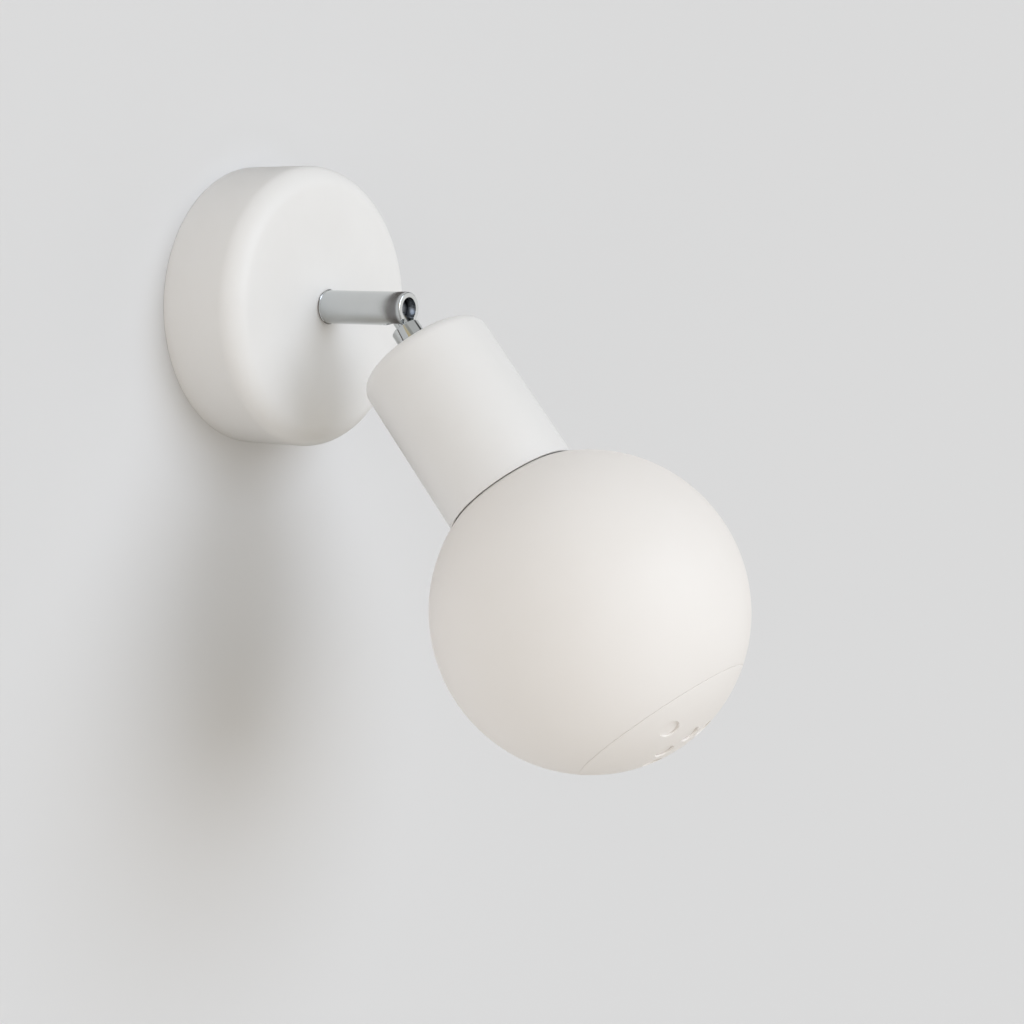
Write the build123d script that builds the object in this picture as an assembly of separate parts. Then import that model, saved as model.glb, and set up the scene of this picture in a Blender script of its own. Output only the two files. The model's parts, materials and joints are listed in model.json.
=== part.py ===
from build123d import *
import os
from math import acos, cos, degrees, radians, sin, sqrt

# A pivoting spotlight for the wall. A round canopy hides a wall bracket and its wiring. A short slotted
# tube stands out of the canopy and turns in it. A spring presses a ball into the tube's far end, and the
# ball's neck carries a cylindrical cover with a screw lampholder and a large globe lamp.
#
# Row frame, in millimetres: the origin is the centre of the wall face, the light stands out along -Y,
# +X is to the right of someone facing the wall, and +Z is up.
#
# Two working frames keep the sizes plain. In the wall frame Z points straight out of the wall and Y is
# up. In the head frame the ball's centre is the origin and Z runs along the head, towards the lamp.

# ---- canopy and wall bracket ----
canopy_diameter = 120.0
canopy_depth = 38.0
canopy_wall = 1.5
canopy_edge_radius = 9.5
bracket_width = 20.0
bracket_thickness = 1.5
bracket_ear_height = 14.0
wall_slot_spacing = 70.0
wall_slot_length = 12.0
wall_slot_width = 5.0
grub_screw_radius = 2.0
grub_screw_length = 8.0
grub_screw_height = 9.0
hex_socket_width = 2.0
earth_screw_place = -16.0
earth_screw_radius = 1.95
earth_screw_head_radius = 3.5
earth_screw_head_height = 2.2
earth_screw_slot = (4.2, 0.8, 1.0)
earth_washer_radius = 4.1
washer_thickness = 0.6
tag_thickness = 0.8
tag_radius = 3.5
tag_tongue_width = 2.4
tag_barrel_gap = 1.2
tag_barrel_length = 4.0
tag_barrel_wall = 0.4
earth_lead_straight = 5.0

# ---- terminal block ----
block_width = 25.0
block_depth = 14.0
block_height = 13.0
block_corner = 1.0
block_centre_height = 16.0
pole_pitch = 8.0
pole_count = 3
wire_hole_radius = 1.6
wire_hole_depth = 4.0
wire_hole_height = 5.0
clamp_screw_radius = 1.6
clamp_screw_length = 4.6
clamp_screw_recess = 0.9
clamp_slot_width = 0.6
clamp_slot_depth = 0.8
peg_radius = 2.0
canopy_lead_drop = 11.0
canopy_lead_straight = 10.0

# ---- swivel of the arm in the canopy ----
stiffener_radius = 16.0
stiffener_thickness = 1.5
stop_lug_inner = 9.8
stop_lug_outer = 13.0
stop_lug_depth = 2.6
stop_lug_half_angle = 4.3
stop_tooth_half_angle = 5.0
stop_tooth_reach = 12.6
stop_slack_angle = 0.7
swivel_washer_radius = 9.5
friction_washer_thickness = 0.8
stop_ring_thickness = 1.2
spring_washer_height = 1.2
spring_washer_thickness = 0.6
spring_washer_radius = 8.8
nut_across_flats = 14.0
nut_thickness = 3.5
nipple_radius = 5.0
nipple_bore = 3.3
nipple_tail = 2.2
base_washer_radius = 7.1
base_washer_thickness = 0.5

# ---- arm tube and ball joint ----
pivot_above_canopy = 33.6
tube_past_pivot = 8.7
tube_base_radius = 7.5
tube_end_radius = 7.1
tube_lip_radius = 0.7
mouth_radius = 4.85
ball_radius = 6.0
neck_radius = 3.2
neck_bore = 2.3
slot_side_gap = 0.2
plug_length = 10.0
plug_edge_radius = 0.4
disc_spring_count = 3
disc_spring_height = 1.3
disc_spring_thickness = 0.6
disc_spring_bore = 3.4
plunger_bore = 2.4
plunger_front_gap = 0.4
ball_flare_radius = 4.2
ball_flare_depth = 2.8
collar_start = 10.7
collar_radius = 6.3
collar_socket_floor = 14.0
collar_edge = 0.5
stem_lead_start = 0.5
head_tilt = 50.0

# ---- head: cover and lampholder ----
cover_start = 23.6
cover_length = 70.2
cover_radius = 28.5
cover_wall = 1.2
cover_edge_radius = 5.4
cover_rim_radius = 0.4
spin_washer_thickness = 0.3
toothed_washer_radius = 8.4
toothed_washer_thickness = 0.8
tooth_count = 12
tooth_depth = 1.4
head_nut_thickness = 3.0
holder_boss_radius = 8.0
holder_boss_height = 5.0
holder_boss_edge = 0.8
holder_boss_foot = 1.2
holder_radius = 19.5
holder_wall = 1.8
holder_dome_radius = 5.4
holder_mouth_edge = 1.0
holder_cap_length = 18.0
holder_spigot_length = 4.0
holder_skirt_length = 28.0
contact_block_radius = 15.7
contact_block_height = 8.0
terminal_screw_place = 10.5
terminal_screw_radius = 1.5
terminal_screw_head_radius = 2.4
terminal_screw_head_height = 1.6
terminal_screw_depth = 5.0
terminal_slot_width = 0.7
terminal_slot_depth = 0.7
shell_radius = 13.3
shell_wall = 0.5
shell_recess = 1.0
shell_flange_bore = 8.5
tongue_width = 5.0
tongue_thickness = 0.5
tongue_lift = 1.9
tongue_foot = 7.0
tongue_rise_start = 3.0
tongue_reach = 4.5
lead_radius = 0.9
lead_offset = 1.0
lead_bend_radius = 3.0
lead_overlap = 1.0
lead_hole_depth = 3.5
lead_hole_end_gap = 0.5
lead_terminal_place = 6.0

# ---- globe lamp ----
globe_radius = 62.5
globe_wall = 1.6
globe_to_cover_gap = 0.43
globe_neck_radius = 21.0
seam_radius = 37.4
seam_gap = 0.3
seam_spigot_depth = 3.0
seam_spigot_wall = 1.4
vent_radius = 4.0
inner_vent_count = 6
inner_vent_ring = 11.5
outer_vent_count = 3
outer_vent_ring = 25.5
vent_phase = 148.4
baffle_thickness = 1.0
baffle_radius = 31.5
lamp_cap_radius = 13.0
lamp_cap_wall = 0.4
lamp_cap_length = 25.0
lamp_cap_cone = 3.0
lamp_cap_tip_radius = 10.0
insulator_height = 2.2
insulator_plug = 2.5
insulator_tip_radius = 4.8
tip_contact_radius = 4.5
tip_contact_height = 0.9
contact_gap = 0.3
lamp_neck_wall = 1.8
lamp_neck_sleeve = 4.0
lamp_neck_step = 1.0
lamp_neck_step_height = 1.5
lamp_neck_flange = 22.0
lamp_neck_flange_height = 1.6
lamp_neck_ledge = 2.0
lamp_neck_spigot = 3.5
heat_plate_thickness = 1.5
heat_cup_depth = 8.0
heat_cup_wall = 1.4
led_board_thickness = 1.6
led_board_radius = 17.0
led_size = (2.8, 3.5, 0.8)
led_count = 12
led_ring = 12.0
driver_board_thickness = 1.6
driver_board_half_width = 10.2
driver_part_place = 3.0
transformer_size = (7.0, 9.0, 8.0)
capacitor_radius = 4.0
capacitor_length = 9.0
lamp_wire_radius = 0.5
lamp_wire_place = 6.0
lamp_lift_past_rim = 2.0

# ---- clearances ----
solder_gap = 0.05
running_clearance = 0.08
assembly_clearance = 0.1
wall_gap = 0.2
loose_clearance = 0.3

# ---- places that follow from the sizes above, out of the wall ----
swing_limit = 180 - stop_lug_half_angle - stop_tooth_half_angle - stop_slack_angle
canopy_radius = canopy_diameter / 2
canopy_inner_radius = canopy_radius - canopy_wall
canopy_inner_face = canopy_depth - canopy_wall
ear_face = sqrt(canopy_inner_radius**2 - (bracket_width / 2) ** 2) - loose_clearance
stiffener_face = canopy_inner_face - stiffener_thickness
friction_washer_top = stiffener_face - assembly_clearance
stop_ring_top = friction_washer_top - friction_washer_thickness
spring_washer_top = stop_ring_top - stop_ring_thickness
nut_top = spring_washer_top - spring_washer_height
nipple_end = nut_top - nut_thickness - nipple_tail
block_top = bracket_thickness + block_height
block_entry = block_centre_height - block_depth / 2
block_wire_height = bracket_thickness + wire_hole_height
tag_barrel_start = earth_screw_place + tag_radius + tag_barrel_gap
tag_barrel_radius = lead_radius + assembly_clearance + tag_barrel_wall
earth_lead_height = bracket_thickness + washer_thickness + tag_barrel_radius
base_washer_low = canopy_depth + assembly_clearance
tube_base = base_washer_low + base_washer_thickness
pivot_reach = canopy_depth + pivot_above_canopy
tube_end = pivot_reach + tube_past_pivot
plug_face = tube_base + plug_length
plunger_back = plug_face + disc_spring_count * disc_spring_height
plunger_front = pivot_reach - neck_radius - plunger_front_gap
arm_lead_end = pivot_reach - ball_radius - assembly_clearance

# ---- places along the head, from the ball's centre ----
cover_roof = cover_start + cover_wall
cover_rim = cover_start + cover_length
spin_washer_low = cover_start - spin_washer_thickness
collar_end = spin_washer_low - assembly_clearance
toothed_washer_end = cover_roof + toothed_washer_thickness
head_nut_end = toothed_washer_end + head_nut_thickness
holder_top = head_nut_end + loose_clearance
holder_boss_end = holder_top + holder_boss_height
holder_roof = holder_boss_end + holder_wall
holder_cap_end = holder_top + holder_cap_length
holder_mouth = holder_cap_end + holder_skirt_length
head_nipple_end = holder_roof - loose_clearance
spigot_radius = holder_radius - holder_wall - assembly_clearance
contact_block_low = holder_cap_end - contact_block_height
tongue_top = holder_cap_end + tongue_thickness + tongue_lift
tip_contact_low = tongue_top + contact_gap
insulator_low = tip_contact_low + tip_contact_height
lamp_cap_low = insulator_low + insulator_height
lamp_cap_high = lamp_cap_low + lamp_cap_length
globe_centre = cover_rim + sqrt((globe_radius + globe_to_cover_gap) ** 2 - (cover_radius - cover_wall) ** 2)
globe_inner_radius = globe_radius - globe_wall
globe_mouth = globe_centre - sqrt(globe_radius**2 - globe_neck_radius**2)
seam_height = sqrt(globe_radius**2 - seam_radius**2)
neck_flange_top = globe_mouth - loose_clearance
heat_plate_top = globe_mouth + lamp_neck_spigot + heat_plate_thickness
heat_cup_low = heat_plate_top - heat_cup_depth
heat_cup_radius = globe_neck_radius - assembly_clearance - lamp_neck_wall - assembly_clearance
driver_board_low = lamp_cap_low + lamp_cap_cone + insulator_plug
driver_board_high = heat_cup_low - assembly_clearance
lamp_travel = cover_rim - tip_contact_low + lamp_lift_past_rim


# ---- ways of making a shape, all about the local Z axis ----
def turned(corners, rounding=None):
    """A turned piece: a closed outline of (radius, height) corners, each with its rounding."""
    places = [(radius, 0, height) for radius, height in corners]
    outline = FilletPolyline(*places, radius=rounding or [0] * len(places), close=True)
    return revolve(make_face(outline), axis=Axis.Z)


def ring(inner, outer, low, high):
    """A plain washer or sleeve."""
    return turned([(inner, low), (outer, low), (outer, high), (inner, high)])


def rod(radius, low, high, x=0.0, y=0.0):
    """A round bar along Z."""
    return Pos(x, y, low) * Cylinder(radius, high - low, align=(Align.CENTER, Align.CENTER, Align.MIN))


def sector(inner, outer, low, high, middle, half_angle):
    """A wedge of a ring, centred on the angle middle."""
    corners = [(inner, 0, low), (outer, 0, low), (outer, 0, high), (inner, 0, high)]
    wedge = revolve(make_face(Polyline(*corners, close=True)), axis=Axis.Z, revolution_arc=2 * half_angle)
    return Rot(Z=middle - half_angle) * wedge


def block(size, centre):
    """A rectangular block about its centre."""
    return Pos(*centre) * Box(*size)


def lead(points, radius, bend):
    """A round insulated wire along straight runs joined by arcs."""
    path = FilletPolyline(*points, radius=bend) if len(points) > 2 else Line(*points)
    section = Plane(origin=path @ 0, z_dir=path % 0) * Circle(radius)
    return sweep(section, path=path)


def sphere_point(radius, height):
    """A point of the profile of the globe, at a height above the globe's centre."""
    return (sqrt(radius**2 - height**2), 0, globe_centre + height)


def sphere_arc(radius, low, high):
    """The arc of that profile between two heights."""
    middle = radius * cos((acos(low / radius) + acos(high / radius)) / 2)
    return ThreePointArc(sphere_point(radius, low), sphere_point(radius, middle), sphere_point(radius, high))


# ---- canopy and what it hides ----
def make_canopy():
    """The drawn cup with its rolled front edge, the arm's hole and two holes for the side screws."""
    hole = nipple_radius + running_clearance
    corners = [
        (hole, canopy_depth),
        (canopy_radius, canopy_depth),
        (canopy_radius, 0),
        (canopy_inner_radius, 0),
        (canopy_inner_radius, canopy_inner_face),
        (hole, canopy_inner_face),
    ]
    cup = turned(corners, [0, canopy_edge_radius, 0, 0, canopy_edge_radius - canopy_wall, 0])
    drill = Rot(X=90) * Cylinder(grub_screw_radius + assembly_clearance, canopy_diameter + 2)
    return cup - Pos(0, 0, grub_screw_height) * drill


def make_wall_bracket():
    """A strap with a bent ear at each end, two slots for the wall screws and the tapped holes."""
    strap = block(
        (bracket_width, 2 * ear_face, bracket_thickness),
        (0, 0, bracket_thickness / 2),
    )
    for side in (-1, 1):
        ear_size = (bracket_width, bracket_thickness, bracket_ear_height)
        strap += block(ear_size, (0, side * (ear_face - bracket_thickness / 2), bracket_ear_height / 2))
        slot = SlotOverall(wall_slot_length, wall_slot_width, rotation=90)
        slot_cut = extrude(slot, bracket_thickness)
        strap -= Pos(0, side * wall_slot_spacing / 2, 0) * slot_cut
    screw_hole = Rot(X=90) * Cylinder(grub_screw_radius + assembly_clearance / 2, 2 * canopy_radius)
    strap -= Pos(0, 0, grub_screw_height) * screw_hole
    strap -= rod(earth_screw_radius + assembly_clearance / 2, 0, bracket_thickness, y=earth_screw_place)
    strap -= rod(peg_radius + assembly_clearance, 0, bracket_thickness, y=block_centre_height)
    return strap


def make_grub_screws():
    """Two flush set screws that hold the canopy on the bracket's ears, at the top and bottom."""
    screw = Cylinder(grub_screw_radius, grub_screw_length, align=(Align.CENTER, Align.CENTER, Align.MIN))
    socket_depth = hex_socket_width * 1.2
    hexagon = RegularPolygon(hex_socket_width / 2, 6, major_radius=False)
    screw -= Pos(0, 0, grub_screw_length - socket_depth) * extrude(hexagon, socket_depth)
    start = canopy_radius - loose_clearance - grub_screw_length
    upper = Pos(0, start, grub_screw_height) * Rot(X=-90) * screw
    lower = Pos(0, -start, grub_screw_height) * Rot(X=90) * screw
    return [upper, lower]


def make_earth_screw():
    """A pan-head screw in the strap, with a cross slot."""
    head_low = bracket_thickness + washer_thickness + tag_thickness
    head_high = head_low + earth_screw_head_height
    shank = rod(earth_screw_radius, wall_gap, head_low, y=earth_screw_place)
    corners = [
        (0, head_low),
        (earth_screw_head_radius, head_low),
        (earth_screw_head_radius, head_high),
        (0, head_high),
    ]
    head = Pos(0, earth_screw_place, 0) * turned(corners, [0, 0, earth_screw_head_height * 0.6, 0])
    length, width, depth = earth_screw_slot
    place = (0, earth_screw_place, head_high)
    cross = block((length, width, 2 * depth), place) + block((width, length, 2 * depth), place)
    return shank + head - cross


def make_earth_washer():
    hole = earth_screw_radius + assembly_clearance
    washer = ring(hole, earth_washer_radius, bracket_thickness, bracket_thickness + washer_thickness)
    return Pos(0, earth_screw_place, 0) * washer


def make_earth_tag():
    """The ring tag under the earth screw, with its crimped barrel towards the terminal block."""
    low = bracket_thickness + washer_thickness
    hole = earth_screw_radius + assembly_clearance
    eye = Pos(0, earth_screw_place, 0) * ring(hole, tag_radius, low, low + tag_thickness)
    tongue_start = earth_screw_place + (hole + tag_radius) / 2
    tongue_length = tag_barrel_start + tag_barrel_wall - tongue_start
    tongue_middle = (0, tongue_start + tongue_length / 2, low + tag_thickness / 2)
    tongue = block((tag_tongue_width, tongue_length, tag_thickness), tongue_middle)
    barrel = Rot(X=-90) * ring(lead_radius + assembly_clearance, tag_barrel_radius, 0, tag_barrel_length)
    barrel = Pos(0, tag_barrel_start, earth_lead_height) * barrel
    lead_space = Rot(X=-90) * rod(lead_radius + assembly_clearance, 0, tag_barrel_length)
    return eye + tongue + barrel - Pos(0, tag_barrel_start, earth_lead_height) * lead_space


def make_earth_lead():
    barrel_end = tag_barrel_start + tag_barrel_length
    points = [
        (0, tag_barrel_start + assembly_clearance, earth_lead_height),
        (0, barrel_end + lead_radius, earth_lead_height),
        (0, block_entry - earth_lead_straight, block_wire_height),
        (0, block_entry + wire_hole_depth - lead_hole_end_gap, block_wire_height),
    ]
    return lead(points, lead_radius, lead_bend_radius)


def make_terminal_block():
    """A moulded block with a clamp for each conductor, pegged into the strap."""
    middle = (0, block_centre_height, bracket_thickness + block_height / 2)
    body = block((block_width, block_depth, block_height), middle)
    body = chamfer(body.edges().filter_by(Axis.Z), block_corner)
    body += rod(peg_radius, wall_gap, bracket_thickness, y=block_centre_height)
    well_floor = block_top - clamp_screw_length - clamp_screw_recess
    for x in pole_places():
        body -= rod(clamp_screw_radius + assembly_clearance, well_floor, block_top, x, block_centre_height)
        for side in (-1, 1):
            mouth = block_centre_height + side * block_depth / 2
            entry = Rot(X=90) * Cylinder(wire_hole_radius, 2 * wire_hole_depth)
            body -= Pos(x, mouth, block_wire_height) * entry
    return body


def pole_places():
    """Where the block's poles stand, from side to side."""
    return [(pole - (pole_count - 1) / 2) * pole_pitch for pole in range(pole_count)]


def make_clamp_screws():
    """One slotted screw in each of the block's wells."""
    top = block_top - clamp_screw_recess
    screws = []
    for x in pole_places():
        screw = rod(clamp_screw_radius, top - clamp_screw_length, top, x, block_centre_height)
        slot_size = (2 * clamp_screw_radius, clamp_slot_width, 2 * clamp_slot_depth)
        screws.append(screw - block(slot_size, (x, block_centre_height, top)))
    return screws


def make_canopy_leads():
    """The two lamp leads, from the arm's hollow nipple to the outer poles of the block."""
    outer_poles = (pole_places()[0], pole_places()[-1])
    leads = []
    for side, x in zip((-1, 1), outer_poles):
        points = [
            (side * lead_offset, 0, nipple_end + lead_overlap),
            (side * lead_offset, 0, nipple_end - canopy_lead_drop),
            (x, block_entry - canopy_lead_straight, block_wire_height),
            (x, block_entry + wire_hole_depth - lead_hole_end_gap, block_wire_height),
        ]
        leads.append(lead(points, lead_radius, lead_bend_radius))
    return leads


def make_stiffener():
    """A disc welded behind the canopy's face, with the lug that stops the arm's swing."""
    hole = nipple_radius + running_clearance
    disc = ring(hole, stiffener_radius, stiffener_face, canopy_inner_face)
    lug_low = stiffener_face - stop_lug_depth
    lug = sector(stop_lug_inner, stop_lug_outer, lug_low, stiffener_face, -90, stop_lug_half_angle)
    return disc + lug


# ---- arm ----
def make_base_washer():
    """The dark fibre washer that shows as a thin line between tube and canopy."""
    hole = nipple_radius + assembly_clearance
    return ring(hole, base_washer_radius, base_washer_low, tube_base)


def make_friction_washer():
    hole = nipple_radius + assembly_clearance
    return ring(hole, swivel_washer_radius, stop_ring_top, friction_washer_top)


def make_stop_ring():
    """The washer keyed to the nipple, whose tooth meets the stiffener's lug."""
    hole = nipple_radius + assembly_clearance
    body = ring(hole, swivel_washer_radius, spring_washer_top, stop_ring_top)
    root = (hole + swivel_washer_radius) / 2
    tooth = sector(root, stop_tooth_reach, spring_washer_top, stop_ring_top, 90, stop_tooth_half_angle)
    return body + tooth


def dished_washer(inner, outer, low, height, thickness, flip=False):
    """A conical spring washer; flip turns its hollow side the other way."""
    rise = height - thickness
    inner_low = low + (rise if flip else 0)
    outer_low = low + (0 if flip else rise)
    return turned(
        [
            (inner, inner_low),
            (outer, outer_low),
            (outer, outer_low + thickness),
            (inner, inner_low + thickness),
        ]
    )


def make_spring_washer():
    hole = nipple_radius + assembly_clearance
    return dished_washer(
        hole,
        spring_washer_radius,
        nut_top,
        spring_washer_height,
        spring_washer_thickness,
    )


def hexagon_nut(low, high):
    """A nut on the nipple's thread, its thread left plain."""
    body = Pos(0, 0, low) * extrude(RegularPolygon(nut_across_flats / 2, 6, major_radius=False), high - low)
    return body - rod(nipple_radius + assembly_clearance / 2, low, high)


def make_arm_nipple():
    """The plug in the tube's base and the hollow threaded stud that goes through the canopy."""
    plug_radius = ball_radius + running_clearance - assembly_clearance / 2
    return turned(
        [
            (nipple_bore, nipple_end),
            (nipple_radius, nipple_end),
            (nipple_radius, tube_base),
            (plug_radius, tube_base),
            (plug_radius, plug_face),
            (nipple_bore, plug_face),
        ],
        [0, 0, 0, 0, plug_edge_radius, plug_edge_radius],
    )


def make_disc_springs():
    """The stack of conical springs that presses the plunger on the ball."""
    outer = ball_radius - loose_clearance
    height = disc_spring_height
    springs = []
    for turn in range(disc_spring_count):
        low = plug_face + turn * height
        flip = turn % 2 == 1
        springs.append(dished_washer(disc_spring_bore, outer, low, height, disc_spring_thickness, flip))
    return springs


def make_plunger():
    """The friction plunger: a sleeve whose front is hollowed to the ball."""
    sleeve = ring(plunger_bore, ball_radius, plunger_back, plunger_front)
    return sleeve - Pos(0, 0, pivot_reach) * Sphere(ball_radius + running_clearance)


def make_arm_tube():
    """The tapered tube: bored from its base, with a spherical seat, a mouth and a slot for the neck."""
    bore = ball_radius + running_clearance
    seat_end = pivot_reach + sqrt(bore**2 - mouth_radius**2)
    half_turn = acos(mouth_radius / bore) / 2
    seat_middle = (bore * cos(half_turn), 0, pivot_reach + bore * sin(half_turn))
    lip = tube_lip_radius
    lip_middle = (tube_end_radius - lip * (1 - cos(radians(45))), 0, tube_end - lip * (1 - sin(radians(45))))
    edges = [
        Line((bore, 0, tube_base), (tube_base_radius, 0, tube_base)),
        Line((tube_base_radius, 0, tube_base), (tube_end_radius, 0, tube_end - lip)),
        ThreePointArc((tube_end_radius, 0, tube_end - lip), lip_middle, (tube_end_radius - lip, 0, tube_end)),
        Line((tube_end_radius - lip, 0, tube_end), (mouth_radius, 0, tube_end)),
        Line((mouth_radius, 0, tube_end), (mouth_radius, 0, seat_end)),
        ThreePointArc((mouth_radius, 0, seat_end), seat_middle, (bore, 0, pivot_reach)),
        Line((bore, 0, pivot_reach), (bore, 0, tube_base)),
    ]
    tube = revolve(make_face(edges), axis=Axis.Z)
    half_width = neck_radius + slot_side_gap
    depth = 2 * tube_base_radius
    length = 2 * tube_past_pivot
    slot = block((2 * half_width, depth, length), (0, -depth / 2, pivot_reach + length / 2))
    slot += Pos(0, -depth / 2, pivot_reach) * Rot(X=90) * Cylinder(half_width, depth)
    return tube - slot


def make_arm_leads():
    """The two leads in the arm, which bend into the ball where they end here."""
    start = nipple_end + lead_overlap + loose_clearance
    return [rod(lead_radius, start, arm_lead_end, side * lead_offset) for side in (-1, 1)]


# ---- ball and collar, in the head frame ----
def make_ball_stem():
    """Ball, neck and collar turned from one bar and bored for the leads."""
    flare = -sqrt(ball_radius**2 - ball_flare_radius**2)
    neck_start = sqrt(ball_radius**2 - neck_radius**2)
    socket = nipple_radius + running_clearance
    edge = collar_edge
    profile = [
        ThreePointArc((ball_flare_radius, 0, flare), (ball_radius, 0, 0), (neck_radius, 0, neck_start)),
        Polyline(
            (neck_radius, 0, neck_start),
            (neck_radius, 0, collar_start),
            (collar_radius - edge, 0, collar_start),
            (collar_radius, 0, collar_start + edge),
            (collar_radius, 0, collar_end - edge),
            (collar_radius - edge, 0, collar_end),
            (socket, 0, collar_end),
            (socket, 0, collar_socket_floor),
            (neck_bore, 0, collar_socket_floor),
            (neck_bore, 0, flare + ball_flare_depth),
            (ball_flare_radius, 0, flare),
        ),
    ]
    return revolve(make_face(profile), axis=Axis.Z)


def make_stem_leads():
    return [
        rod(lead_radius, -stem_lead_start, collar_socket_floor, side * lead_offset)
        for side in (-1, 1)
    ]


# ---- head, in the head frame ----
def make_spin_washer():
    return ring(nipple_radius + assembly_clearance, collar_radius, spin_washer_low, cover_start)


def make_cover():
    """The deep drawn cylinder that hides the lampholder, open towards the lamp."""
    hole = nipple_radius + assembly_clearance
    inner = cover_radius - cover_wall
    corners = [
        (hole, cover_start),
        (cover_radius, cover_start),
        (cover_radius, cover_rim),
        (inner, cover_rim),
        (inner, cover_roof),
        (hole, cover_roof),
    ]
    rim = cover_rim_radius
    return turned(corners, [0, cover_edge_radius, rim, rim, cover_edge_radius - cover_wall, 0])


def make_head_nipple():
    return ring(
        nipple_bore - loose_clearance,
        nipple_radius,
        collar_socket_floor + loose_clearance,
        head_nipple_end,
    )


def make_toothed_washer():
    """The locking washer inside the cover, with teeth round its edge."""
    hole = nipple_radius + assembly_clearance
    washer = ring(hole, toothed_washer_radius, cover_roof, toothed_washer_end)
    notch_turn = 360 / tooth_count
    for tooth in range(tooth_count):
        notch = sector(
            toothed_washer_radius - tooth_depth,
            toothed_washer_radius + tooth_depth,
            cover_roof,
            toothed_washer_end,
            tooth * notch_turn,
            notch_turn / 4,
        )
        washer -= notch
    return washer


def make_holder_cap():
    """The lampholder's domed cap, with the threaded boss that takes the nipple."""
    hole = nipple_radius + assembly_clearance / 2
    inner = holder_radius - holder_wall
    dome = holder_dome_radius
    corners = [
        (hole, holder_top),
        (holder_boss_radius, holder_top),
        (holder_boss_radius, holder_boss_end),
        (holder_radius, holder_boss_end),
        (holder_radius, holder_cap_end),
        (inner, holder_cap_end),
        (inner, holder_roof),
        (hole, holder_roof),
    ]
    rounding = [0, holder_boss_edge, holder_boss_foot, dome, 0, 0, dome - holder_wall, 0]
    return turned(corners, rounding)


def make_holder_skirt():
    """The lampholder's lower part: a spigot into the cap, a ledge, and the sleeve round the thread."""
    recess = contact_block_radius + assembly_clearance
    bore = shell_radius + shell_wall + loose_clearance
    corners = [
        (recess, holder_cap_end - holder_spigot_length),
        (spigot_radius, holder_cap_end - holder_spigot_length),
        (spigot_radius, holder_cap_end),
        (holder_radius, holder_cap_end),
        (holder_radius, holder_mouth),
        (bore, holder_mouth),
        (bore, holder_cap_end),
        (recess, holder_cap_end),
    ]
    edge = holder_mouth_edge
    return turned(corners, [0, 0, 0, 0, edge, edge / 2, 0, 0])


def make_contact_block():
    """The insulating insert that carries the contacts and clamps the leads."""
    body = ring(0, contact_block_radius, contact_block_low, holder_cap_end)
    for side in (-1, 1):
        lead_hole = lead_radius + assembly_clearance
        lead_hole_floor = contact_block_low + lead_hole_depth
        body -= rod(lead_hole, contact_block_low, lead_hole_floor, side * lead_terminal_place)
        screw_hole = terminal_screw_radius + assembly_clearance / 2
        screw_hole_floor = contact_block_low + terminal_screw_depth
        body -= rod(screw_hole, contact_block_low, screw_hole_floor, side * terminal_screw_place)
    return body


def make_terminal_screws():
    """The two slotted screws that clamp the leads in the contact block."""
    head_low = contact_block_low - terminal_screw_head_height
    screws = []
    for side in (-1, 1):
        x = side * terminal_screw_place
        shank = rod(terminal_screw_radius, contact_block_low, contact_block_low + terminal_screw_depth, x)
        head = rod(terminal_screw_head_radius, head_low, contact_block_low, x)
        slot_size = (2 * terminal_screw_head_radius, terminal_slot_width, 2 * terminal_slot_depth)
        screws.append(shank + head - block(slot_size, (x, 0, head_low)))
    return screws


def make_thread_shell():
    """The holder's threaded metal shell, its thread left plain, with the flange that is riveted on."""
    outer = shell_radius + shell_wall
    corners = [
        (shell_flange_bore, holder_cap_end),
        (outer, holder_cap_end),
        (outer, holder_mouth - shell_recess),
        (shell_radius, holder_mouth - shell_recess),
        (shell_radius, holder_cap_end + shell_wall),
        (shell_flange_bore, holder_cap_end + shell_wall),
    ]
    return turned(corners)


def make_centre_contact():
    """The sprung brass tongue that the lamp's tip presses on."""
    middle_line = Polyline(
        (-tongue_foot, 0, holder_cap_end + tongue_thickness / 2),
        (-tongue_rise_start, 0, holder_cap_end + tongue_thickness / 2),
        (0, 0, tongue_top - tongue_thickness / 2),
        (tongue_reach, 0, tongue_top - tongue_thickness / 2),
    )
    start = Plane(origin=middle_line @ 0, x_dir=(0, 1, 0), z_dir=middle_line % 0)
    section = start * Rectangle(tongue_width, tongue_thickness)
    return sweep(section, path=middle_line, transition=Transition.RIGHT)


def make_head_leads():
    """The two leads from the collar to the contact block, spread under the holder's cap."""
    leads = []
    for side in (-1, 1):
        points = [
            (side * lead_offset, 0, collar_socket_floor + loose_clearance),
            (side * lead_offset, 0, head_nipple_end + lead_radius),
            (side * lead_terminal_place, 0, contact_block_low - lead_radius),
            (side * lead_terminal_place, 0, contact_block_low + lead_hole_depth - lead_hole_end_gap),
        ]
        leads.append(lead(points, lead_radius, lead_bend_radius / 2))
    return leads


# ---- globe lamp, in the head frame ----
def make_lamp_cap():
    """The lamp's screw cap, a thin shell with its thread left plain."""
    shoulder = lamp_cap_low + lamp_cap_cone
    tip_inner = lamp_cap_tip_radius - lamp_cap_wall
    corners = [
        (lamp_cap_tip_radius, lamp_cap_low),
        (lamp_cap_radius, shoulder),
        (lamp_cap_radius, lamp_cap_high),
        (lamp_cap_radius - lamp_cap_wall, lamp_cap_high),
        (lamp_cap_radius - lamp_cap_wall, shoulder),
        (tip_inner, lamp_cap_low),
    ]
    return turned(corners)


def make_cap_insulator():
    """The insulating plug in the end of the cap, with a hole for the centre wire."""
    plug = lamp_cap_tip_radius - lamp_cap_wall - assembly_clearance
    hole = lamp_wire_radius + loose_clearance
    corners = [
        (hole, insulator_low),
        (insulator_tip_radius, insulator_low),
        (plug, lamp_cap_low),
        (plug, lamp_cap_low + insulator_plug),
        (hole, lamp_cap_low + insulator_plug),
    ]
    return turned(corners)


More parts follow.
